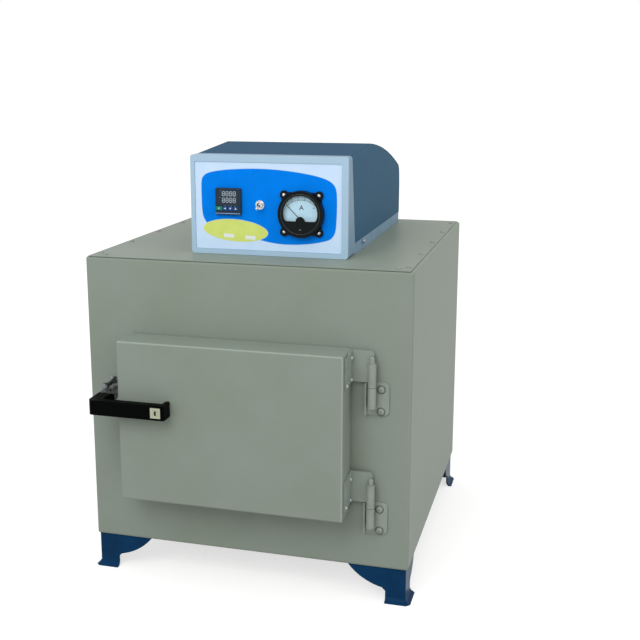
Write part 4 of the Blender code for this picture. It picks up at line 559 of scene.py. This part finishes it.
# Printed fields of the panel: blue ground with a pale line round it, and a yellow oval with two blank boxes
prints = dict(ink=0.15, line=0.6, smooth=6, boxWide=19.5, boxHigh=6.5, boxDrop=0.4,
              boxes=((71.4, 34.1), (112.1, 31.9)),
              ovalX=83.8, ovalZ=43.9, ovalHalfWide=61.0, ovalHalfHigh=19.7, ovalTilt=-3.2, ovalLine=0.6)
blueOutline = [(20.6, 104), (20.9, 130), (25.0, 140.6), (36.7, 147.2), (62, 151.8), (93.5, 154.4),
               (121, 155.4), (149, 155.0), (176, 153.2), (203, 150.1), (229, 145.8), (250.6, 139.9),
               (263.5, 132.6), (269.8, 121.8), (271.4, 104), (271.3, 85), (270.5, 66), (268.8, 49.2),
               (264.0, 38.9), (255.0, 32.4), (228, 26.0), (195, 22.6), (164.3, 23.0), (136.6, 27.2),
               (100, 35.4), (64, 42), (38, 50), (26.5, 61), (21.6, 76.5)]
blueLoop = [Vector(onPanel(p.x, p.y)) for p in smoothLoop(blueOutline, prints["smooth"])]


def grown(loop, by):  # the same outline, moved out along its own normal
    middle = sum(loop, Vector((0, 0))) / len(loop)
    wider = []
    for index, point in enumerate(loop):
        along = (loop[(index + 1) % len(loop)] - loop[index - 1]).normalized()
        out = Vector((along.y, -along.x))
        wider.append(point + out * (by if out.dot(point - middle) > 0 else -by))
    return wider


ink = prints["ink"] * mm
tiltCos, tiltSin = math.cos(math.radians(prints["ovalTilt"])), math.sin(math.radians(prints["ovalTilt"]))
ovalLoop = []
for point in circleLoop(0, 0, 1, 72):
    x, z = point.x * prints["ovalHalfWide"], point.y * prints["ovalHalfHigh"]
    ovalLoop.append(Vector(onPanel(prints["ovalX"] + x * tiltCos - z * tiltSin,
                                   prints["ovalZ"] + x * tiltSin + z * tiltCos)))
ovalMiddle = sum(ovalLoop, Vector((0, 0))) / len(ovalLoop)
ovalWider = [point + (point - ovalMiddle).normalized() * prints["ovalLine"] * mm for point in ovalLoop]
halfWide, halfHigh = prints["boxWide"] / 2, prints["boxHigh"] / 2
blanks = []
for x, z in prints["boxes"]:
    blanks.append([Vector(onPanel(x + right * halfWide, z + top * halfHigh - right * prints["boxDrop"]))
                   for right, top in ((-1, -1), (1, -1), (1, 1), (-1, 1))])
blueWider = grown(blueLoop, prints["line"] * mm)
# each print lies over the one before, so it stands out by more layers of ink
for name, loops, layers, look in (("panelFieldLine", [blueWider], 0.5, "paleInk"),
                                  ("panelField", [blueLoop], 1, "blueInk"),
                                  ("panelOvalLine", [ovalWider], 1.4, "whiteInk"),
                                  ("panelOval", [ovalLoop], 2, "yellowInk"),
                                  ("panelBlanks", blanks, 2.5, "whiteInk")):
    addFilm(name, loops, panelFace, ink * layers, "cabinet", look)
print("panel printed")

# Keyhole of the lock: painted shade for the hole, a black upright film with round ends on its turned face
keyhole = dict(wide=3.7, high=8.6, proud=0.06)
x, z, face = middleOf("lock_cylinder")
radius = keyhole["wide"] / 2 * mm
rise = keyhole["high"] / 2 * mm - radius
keyholeLoop = circleLoop(x, z + rise, radius, 12, 0, 180) + circleLoop(x, z - rise, radius, 12, 180, 360)
addFilm("keyholeShade", [keyholeLoop], face, keyhole["proud"] * mm, "lock", "blackInk")

# Temperature controller figures: two rows of four, seven bars each, drawn unlit and leaning a little
figures = dict(high=7.9, wide=4.3, pitch=6.8, bar=1.25, gap=0.25, lean=0.05, tilt=3.4, left=13.6,
               rows=(38.1, 26.4), count=4, proud=0.06)
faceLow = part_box("temp_controller")[0]
faceFront = min(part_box("temp_display")[0].y, faceLow.y)
hexagonReach = 0.5774  # from the middle of a six-sided bar to its corner, for a bar 1 wide


def barTree():
    inputs = {"Length": 0.004, "Width": 0.001, "Proud": 0.0001, "Material": None}
    tree, entry, out = newTree("figure bars", inputs)
    half = addNode(tree, "ShaderNodeMath", {1: hexagonReach}, {0: entry["Width"]}, operation="MULTIPLY")
    core = addNode(tree, "GeometryNodeMeshCylinder", {"Vertices": 6, "Depth": 1.0}, {"Radius": half})
    lying = addNode(tree, "GeometryNodeInputPosition")
    split = addNode(tree, "ShaderNodeSeparateXYZ", None, {0: lying})
    side = addNode(tree, "ShaderNodeMath", None, {0: split.outputs["X"]}, operation="SIGN")
    length, width = entry["Length"], entry["Width"]
    spare = addNode(tree, "ShaderNodeMath", None, {0: length, 1: width}, operation="SUBTRACT")
    reach = addNode(tree, "ShaderNodeMath", {1: 0.5}, {0: spare}, operation="MULTIPLY")
    moved = addNode(tree, "ShaderNodeMath", None, {0: side, 1: reach}, operation="MULTIPLY")
    depth = {0: split.outputs["Z"], 1: entry["Proud"]}
    deep = addNode(tree, "ShaderNodeMath", None, depth, operation="MULTIPLY")
    newX = addNode(tree, "ShaderNodeMath", None, {0: split.outputs["X"], 1: moved}, operation="ADD")
    spot = addNode(tree, "ShaderNodeCombineXYZ", None, {0: newX, 1: split.outputs["Y"], 2: deep})
    bar = addNode(tree, "GeometryNodeSetPosition", None, {"Geometry": core, "Position": spot})
    turn = addNode(tree, "GeometryNodeInputNamedAttribute", {"Name": "turn"}, data_type="FLOAT_VECTOR")
    placed = addNode(tree, "GeometryNodeInstanceOnPoints", None,
                     {"Points": entry["Geometry"], "Instance": bar, "Rotation": turn.outputs["Attribute"]})
    dress(tree, placed, entry, out, smooth=False)
    return tree


bars = barTree()


def placeBars(name, places, length, width, proud, look):
    values = {"Length": length * mm, "Width": width * mm, "Proud": proud * mm, "Material": finish[look]}
    carried(runTree(name, pointMesh(name, "turn", places), bars, values), "cabinet")


wide, high = figures["wide"], figures["high"]
barSpots = [(wide / 2, 0, 0), (wide / 2, high / 2, 0), (wide / 2, high, 0)]
barSpots += [(x, high * share, 1) for x in (0, wide) for share in (1 / 4, 3 / 4)]
upTurn = -quarter - math.radians(figures["tilt"])
barPlaces = []
for row in figures["rows"]:
    for digit in range(figures["count"]):
        start = figures["left"] + figures["pitch"] * digit
        for x, z, upright in barSpots:
            place = (faceLow.x + (start + (x + figures["lean"] * z)) * mm, faceFront,
                     faceLow.z + (row + z - high / 2) * mm)
            barPlaces.append((place, (quarter, upTurn if upright else 0, 0)))
placeBars("displayFigures", barPlaces, high / 2 - figures["gap"], figures["bar"], figures["proud"] * 2,
          "figureSegments")

# Small lamps over the keys and beside the figures, marks on the keys, and the plain trim line of the face
lamp = dict(radius=0.6, height=0.25, slot=0.05, cut=-0.3,
            spots=((18.5, 16.4), (25.2, 16.4), (31.1, 16.4), (37.4, 16.4), (10.2, 43.4), (9.4, 31.3)))
marks = dict(arrow=1.9, arrowShape=((-0.9, -0.7), (0.9, -0.7), (0, 0.95)), ringOuter=1.5, ringInner=0.95,
             proud=0.12, trim=((0.8, 2.0), (47.2, 2.0), (47.2, 3.2), (0.8, 3.2)), trimThick=0.1)
lampPlaces = [((faceLow.x + x * mm, faceFront, faceLow.z + z * mm), (0, -1, 0)) for x, z in lamp["spots"]]
placeHeads("statusLamps", lampPlaces, lamp, "figureSegments", "cabinet")
proud = marks["proud"] * mm
for key, heading in {"key_shift": 90, "key_down": 180, "key_up": 0}.items():
    x, z, face = middleOf(key)
    turn = Matrix.Rotation(math.radians(heading), 2)
    loop = [Vector((x, z)) + turn @ Vector(corner) * marks["arrow"] * mm for corner in marks["arrowShape"]]
    addFilm(key + "Mark", [loop], face, proud, key + "_body", "whiteInk")
x, z, face = middleOf("key_set")
setLoops = [circleLoop(x, z, radius * mm, 24) for radius in (marks["ringOuter"], marks["ringInner"])]
addFilm("keySetMark", setLoops, face, proud, "key_set_body", "whiteInk")
trimLoop = [Vector((faceLow.x + x * mm, faceLow.z + z * mm)) for x, z in marks["trim"]]
trimThick = marks["trimThick"] * mm
addFilm("faceTrimLine", [trimLoop], faceLow.y, trimThick, "cabinet", "trimInk")
print("temperature controller dressed")

# Ammeter: black mask on the clear cover, with the window and the adjuster's hole cut in it, a raised rim
# round it, a thin ring at the cover's edge painted lighter as a highlight, and four flange screws
meter = dict(x=208.2, z=78.3, windowZ=79.9, windowRadius=31.2, chord=66.2, corner=6.4,
             humpZ=66.2, humpRadius=8.3, maskRadius=39.2, maskThick=0.6, holeZ=51.3, holeRadius=3.8,
             rimOuter=41.3, rimInner=38.8, rimHigh=1.3, rimDeep=0.6,
             seamRadius=35.4, seamHalf=0.45, seamHigh=0.35, seamDeep=0.2, segments=72)
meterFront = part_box("ammeter_case")[0].y
meterX, meterZ = onPanel(meter["x"], meter["z"])


def windowLoop():
    centreX, centreZ, cornerZ = meter["x"], meter["windowZ"], meter["chord"] + meter["corner"]
    reach = meter["windowRadius"] - meter["corner"]
    aside = math.sqrt(reach ** 2 - (centreZ - cornerZ) ** 2)
    low = math.degrees(math.asin((cornerZ - centreZ) / reach))
    dip = math.degrees(math.asin((meter["humpZ"] - meter["chord"]) / meter["humpRadius"]))
    loop = circleLoop(centreX, centreZ, meter["windowRadius"], 60, low, 180 - low)
    loop += circleLoop(centreX - aside, cornerZ, meter["corner"], 8, 180 - low, 270)[1:]
    loop += circleLoop(centreX, meter["humpZ"], meter["humpRadius"], 20, 180 + dip, -dip)
    loop += circleLoop(centreX + aside, cornerZ, meter["corner"], 8, 270, 360 + low)[:-1]
    return [Vector(onPanel(p.x, p.y)) for p in loop]


holeLoop = circleLoop(*onPanel(meter["x"], meter["holeZ"]), meter["holeRadius"] * mm, 32)
maskLoop = circleLoop(meterX, meterZ, meter["maskRadius"] * mm, meter["segments"])
addFilm("meterMask", [maskLoop, windowLoop(), holeLoop], meterFront, meter["maskThick"] * mm,
        "cabinet", "meterPhenolic")


def ringMesh(name, x, z, front, profile, segments):  # profile in mm: radius and how far it stands in front
    shape = bmesh.new()
    rows = []
    for k in range(segments):
        across, up = math.cos(2 * math.pi * k / segments), math.sin(2 * math.pi * k / segments)
        rows.append([shape.verts.new((x + r * mm * across, front - h * mm, z + r * mm * up))
                     for r, h in profile])
    for k in range(segments):
        here, there = rows[k], rows[(k + 1) % segments]
        for i in range(len(profile)):
            j = (i + 1) % len(profile)
            shape.faces.new((here[i], here[j], there[j], there[i])).smooth = True
    return settle(shape, bpy.data.meshes.new(name))


def beadProfile(middle, half, foot, high, deep, step):  # half round in front of its foot, flat behind
    turns = [math.radians(angle) for angle in range(0, 181, step)]
    bead = [(middle + half * math.cos(turn), foot + high * math.sin(turn)) for turn in turns]
    return bead + [(middle - half, foot - deep), (middle + half, foot - deep)]


outer, inner = meter["rimOuter"], meter["rimInner"]
rimProfile = beadProfile((outer + inner) / 2, (outer - inner) / 2, 0, meter["rimHigh"], meter["rimDeep"], 20)
seamProfile = beadProfile(meter["seamRadius"], meter["seamHalf"], meter["maskThick"], meter["seamHigh"],
                          meter["seamDeep"], 30)
for name, profile, look in (("meterRim", rimProfile, "meterPhenolic"),
                            ("meterSeam", seamProfile, "highlightRingPhenolic")):
    ring = ringMesh(name, meterX, meterZ, meterFront, profile, meter["segments"])
    addPiece(name, ring, "cabinet", look)

earScrew = dict(radius=3.4, height=2.2, slot=0.9, cut=0.8, pitchX=63.6, pitchZ=66.0, proud=4.3)
earPlaces = []
for sideX in (-0.5, 0.5):
    for sideZ in (-0.5, 0.5):
        x, z = onPanel(meter["x"] + sideX * earScrew["pitchX"], meter["z"] + sideZ * earScrew["pitchZ"])
        earPlaces.append(((x, panelFace - earScrew["proud"] * mm, z), (0, -1, 0)))
placeHeads("meterScrews", earPlaces, earScrew, "nickelPlate", "cabinet")


def textMesh(name, words, size, x, z, middle, thick, bold=0.0):
    curve = bpy.data.curves.new(name, "FONT")
    curve.body = words
    curve.size = size * mm
    curve.offset = bold * mm
    curve.extrude = thick * mm / 2
    curve.align_x = "CENTER"
    curve.align_y = "CENTER"
    drawn = bpy.data.objects.new(name, curve)
    mesh = bpy.data.meshes.new_from_object(drawn)
    bpy.data.objects.remove(drawn)
    mesh.transform(Matrix.Translation((x, middle, z)) @ Matrix.Rotation(quarter, 4, "X"))
    return mesh


def joined(name, meshes):
    shape = bmesh.new()
    for mesh in meshes:
        shape.from_mesh(mesh)
    return settle(shape, bpy.data.meshes.new(name), 0.001 * mm)


# Dial print: arc, ticks, plain numbers and the letter for amperes, all about the needle's pivot.
# Ticks: kind, how many, degrees from one to the next, length and width; the arc runs from start to end.
dial = dict(pivotX=208.2, pivotZ=66.5, start=135, end=45, arc=36.0, arcWidth=0.5,
            numberSize=4.0, numberTurn=18, outside=42.0, inside=31.6, unitSize=12.0, unitZ=89.0,
            bold=0.16, ink=0.08,
            ticks=(("Long", 6, 18, 3.2, 1.1), ("Short", 26, 3.6, 2.0, 0.35)))
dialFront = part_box("ammeter_dial")[0].y
inkMiddle = dialFront - dial["ink"] * mm / 2
pivotX, pivotZ = onPanel(dial["pivotX"], dial["pivotZ"])
arcLoop = circleLoop(pivotX, pivotZ, (dial["arc"] + dial["arcWidth"]) * mm, 60, dial["end"], dial["start"])
arcLoop += circleLoop(pivotX, pivotZ, dial["arc"] * mm, 60, dial["start"], dial["end"])
dialParts = [film("dialArc", [arcLoop], dialFront, dial["ink"] * mm)]
numbers = ("0", "10", "20", "30", "40", "50")
for step, word in enumerate(numbers):
    angle = math.radians(dial["start"] - dial["numberTurn"] * step)
    reach = dial["inside" if step in (0, len(numbers) - 1) else "outside"] * mm
    dialParts.append(textMesh("dialNumber", word, dial["numberSize"], pivotX + reach * math.cos(angle),
                              pivotZ + reach * math.sin(angle), inkMiddle, dial["ink"]))
dialParts.append(textMesh("dialUnit", "A", dial["unitSize"], *onPanel(dial["pivotX"], dial["unitZ"]),
                          inkMiddle, dial["ink"], dial["bold"]))
addPiece("dialPrint", joined("dialPrint", dialParts), "cabinet", "blackInk")
for kind, count, turn, length, width in dial["ticks"]:
    places = []
    for step in range(count):
        angle = math.radians(dial["start"] - turn * step)
        reach = (dial["arc"] + length / 2) * mm
        place = (pivotX + reach * math.cos(angle), dialFront, pivotZ + reach * math.sin(angle))
        places.append((place, (quarter, -angle, 0)))
    placeBars("dialTicks" + kind, places, length, width, dial["ink"] * 2, "blackInk")

# A pale film on the zero adjuster: a painted highlight for the light in its screwdriver slot
adjuster = dict(proud=0.06, outline=((-2.2, -0.5), (-1.2, -0.35), (1.2, -0.35), (2.2, -0.5), (2.2, 0.1),
                                     (1.2, 0.45), (-1.2, 0.45), (-2.2, 0.1)))
x, z, face = middleOf("zero_adjuster")
glintLoop = [Vector((x + a * mm, z + b * mm)) for a, b in adjuster["outline"]]
addFilm("adjusterGlint", [glintLoop], face, adjuster["proud"] * mm,
        "zero_screw", "figureSegments")
print("ammeter dressed")

# Dark rings under the hinge leaf screws, as painted shadow round their heads, let a little into the leaf
shadowRing = dict(inner=6.4, outer=7.6, high=0.9, bevel=0.3, sunk=0.1, leafThick=3.0, segments=40)
inner, outer, top, bevel, foot = (shadowRing[key] for key in ("inner", "outer", "high", "bevel", "sunk"))
shadowRingProfile = [(inner, -foot), (inner, top), (outer - bevel, top), (outer, top - bevel), (outer, -foot)]
for name in leafScrews:
    x, z = middleOf("leaf_screw_" + name)[:2]
    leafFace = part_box("hinge_leaf_" + name.split("_")[0])[1].y - shadowRing["leafThick"] * mm
    ring = ringMesh("leafShadowRing_" + name, x, z, leafFace, shadowRingProfile, shadowRing["segments"])
    addPiece("leafShadowRing_" + name, ring, "cabinet", "paintedShadowRing")
print("hinge washers placed")

# Heating coils: resistance wire wound round, in the grooves of the muffle, each with a straight lead out to
# the terminal block and a hook from the winding to the lead, given as shares of the radius and mm behind
coil = dict(outer=8.6, wire=1.3, pitch=6.2, start=1.5, back=3.0, sides=8, around=18,
            lead=3.0, leadGap=1.5, leadSides=12, hook=((1.0, 0), (0.6, 1.5), (0.2, 2.5), (0, 3.5)))


def coilTree():
    inputs = {"Coil Radius": 0.008, "Wire Radius": 0.001, "Length": 0.3, "Turns": 40.0, "Around": 18,
              "Sides": 8, "Material": None}
    tree, entry, out = newTree("coil", inputs)
    spiral = addNode(tree, "GeometryNodeCurveSpiral", None,
                     {"Resolution": entry["Around"], "Rotations": entry["Turns"], "Height": entry["Length"],
                      "Start Radius": entry["Coil Radius"], "End Radius": entry["Coil Radius"]})
    wire = addNode(tree, "GeometryNodeCurvePrimitiveCircle", None,
                   {"Resolution": entry["Sides"], "Radius": entry["Wire Radius"]})
    swept = addNode(tree, "GeometryNodeCurveToMesh", {"Fill Caps": True},
                    {"Curve": spiral, "Profile Curve": wire})
    placed = addNode(tree, "GeometryNodeInstanceOnPoints", {"Rotation": (-quarter, 0, 0)},
                     {"Points": entry["Geometry"], "Instance": swept})
    dress(tree, placed, entry, out)
    return tree


def rodMesh(name, radius, path, sides):  # round bar along a path, ends closed
    shape = bmesh.new()
    rings = []
    turns = [2 * math.pi * k / sides for k in range(sides)]
    circle = [Vector((radius * math.cos(turn), radius * math.sin(turn), 0)) for turn in turns]
    for index, point in enumerate(path):
        way = (path[min(index + 1, len(path) - 1)] - path[max(index - 1, 0)]).normalized()
        turn = way.to_track_quat("Z", "Y")
        rings.append([shape.verts.new(point + turn @ spot) for spot in circle])
    for here, there in zip(rings, rings[1:]):
        for k in range(sides):
            j = (k + 1) % sides
            shape.faces.new((here[k], here[j], there[j], there[k])).smooth = True
    shape.faces.new(list(reversed(rings[0])))
    shape.faces.new(rings[-1])
    return settle(shape, bpy.data.meshes.new(name))


coils = coilTree()
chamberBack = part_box("hearth_plate")[1].y
radius = (coil["outer"] - coil["wire"]) * mm
for name in coilPlaces:
    low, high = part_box("heating_element_" + name)
    x, z = middleOf("heating_element_" + name)[:2]
    mesh = bpy.data.meshes.new("coil")
    mesh.from_pydata([(x, low.y + coil["start"] * mm, z)], [], [])
    length = chamberBack - low.y - (coil["start"] + coil["back"]) * mm
    values = {"Coil Radius": radius, "Wire Radius": coil["wire"] * mm, "Length": length,
              "Turns": round(length / (coil["pitch"] * mm)), "Around": coil["around"],
              "Sides": coil["sides"], "Material": finish["resistanceWire"]}
    wound = runTree("coil", mesh, coils, values)
    end = low.y + coil["start"] * mm + length
    leadPath = [Vector((x, end + coil["leadGap"] * mm, z)), Vector((x, high.y, z))]
    hookPath = [Vector((x + radius * share, end + behind * mm, z)) for share, behind in coil["hook"]]
    lead = rodMesh("lead", coil["lead"] * mm, leadPath, coil["leadSides"])
    hook = rodMesh("hook", coil["wire"] * mm, hookPath, coil["sides"])
    whole = joined("heatingCoil_" + name, [wound.data, lead, hook])
    bpy.data.objects.remove(wound)
    piece = addPiece("heatingCoil_" + name, whole, "cabinet", "resistanceWire")
    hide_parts("heating_element_" + name)
print("heating coils wound")

# Terminal screws on the block behind the chamber
terminal = dict(radius=4.0, height=2.2, slot=1.0, cut=0.9, inward=14)
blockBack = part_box("terminal_block")[1].y
terminalPlaces = []
for name in coilPlaces:
    x, z = middleOf("heating_element_" + name)[:2]
    inward = terminal["inward"] if "left" in name else -terminal["inward"]
    terminalPlaces.append(((x + inward * mm, blockBack, z), (0, 1, 0)))
placeHeads("terminalScrews", terminalPlaces, terminal, "nickelPlate", "cabinet")

# Floor, backdrop and lights: a white sweep that takes only the object's soft shadow
studio = dict(floorSize=40, floorColour="BDBDBB", floorGlow=0.66, skyLevel=0.80, target=(0, 0, 0.4),
              keyPlace=(-0.2, -2.3, 2.15), keySize=1.8, keyPower=28,
              fillPlace=(2.8, -0.9, 1.6), fillSize=1.6, fillPower=9)
white = (1, 1, 1, 1)


def straightRays(tree):  # 1 for rays from the camera, mirrored or through glass; 0 for those that light
    rays = addNode(tree, "ShaderNodeLightPath").outputs
    seen = addNode(tree, "ShaderNodeMath", None, {0: rays["Is Camera Ray"], 1: rays["Is Glossy Ray"]},
                   operation="MAXIMUM")
    through = addNode(tree, "ShaderNodeMath", None, {0: seen, 1: rays["Is Transmission Ray"]},
                      operation="MAXIMUM")
    return through


scene = bpy.context.scene
world = bpy.data.worlds.new("studio")
scene.world = world
world.use_nodes = True
tree = world.node_tree
tree.nodes.clear()
dim = addNode(tree, "ShaderNodeBackground", {"Color": white, "Strength": studio["skyLevel"]})
full = addNode(tree, "ShaderNodeBackground", {"Color": white, "Strength": 1.0})
both = addNode(tree, "ShaderNodeMixShader", None, {0: straightRays(tree), 1: dim, 2: full})
addNode(tree, "ShaderNodeOutputWorld", None, {0: both})

floorMaterial = bpy.data.materials.new("studioFloor")
floorMaterial.use_nodes = True
tree = floorMaterial.node_tree
tree.nodes.clear()
seen = straightRays(tree)
share = addNode(tree, "ShaderNodeMath", {1: studio["floorGlow"]}, {0: seen}, operation="MULTIPLY")
matt = addNode(tree, "ShaderNodeBsdfDiffuse", {"Color": paint(studio["floorColour"])})
glow = addNode(tree, "ShaderNodeEmission", {"Color": white}, {"Strength": share})
lit = addNode(tree, "ShaderNodeAddShader", None, {0: matt, 1: glow})
addNode(tree, "ShaderNodeOutputMaterial", None, {0: lit})
half = studio["floorSize"] / 2
floorMesh = bpy.data.meshes.new("studioFloor")
floorCorners = [(-half, -half, 0), (half, -half, 0), (half, half, 0), (-half, half, 0)]
floorMesh.from_pydata(floorCorners, [], [(0, 1, 2, 3)])
floorMesh.materials.append(floorMaterial)
floor = linked("studioFloor", floorMesh)

for name in ("key", "fill"):
    light = bpy.data.lights.new(name + "Light", "AREA")
    light.shape = "DISK"
    light.size = studio[name + "Size"]
    light.energy = studio[name + "Power"]
    stand = linked(name + "Light", light)
    stand.location = studio[name + "Place"]
    aim = Vector(studio["target"]) - Vector(studio[name + "Place"])
    stand.rotation_euler = aim.to_track_quat("-Z", "Y").to_euler()

# Camera: place, aim, focal length and shift as fitted to the photograph
view = dict(place=(0.5702, -1.9510, 0.9319), right=(0.96235, 0.27180, -0.00291),
            ahead=(-0.26620, 0.94027, -0.21221), lens=58.79, sensor=36, shiftX=0.04145, shiftY=-0.03645)
ahead = Vector(view["ahead"]).normalized()
upward = Vector(view["right"]).cross(ahead).normalized()
sideways = ahead.cross(upward).normalized()
camera = linked("camera", bpy.data.cameras.new("camera"))
turned = Matrix((sideways, upward, -ahead)).transposed().to_4x4()
camera.matrix_world = Matrix.Translation(view["place"]) @ turned
camera.data.sensor_width = view["sensor"]
camera.data.lens = view["lens"]
camera.data.shift_x = view["shiftX"]
camera.data.shift_y = view["shiftY"]
scene.camera = camera
scene.view_settings.view_transform = "Standard"
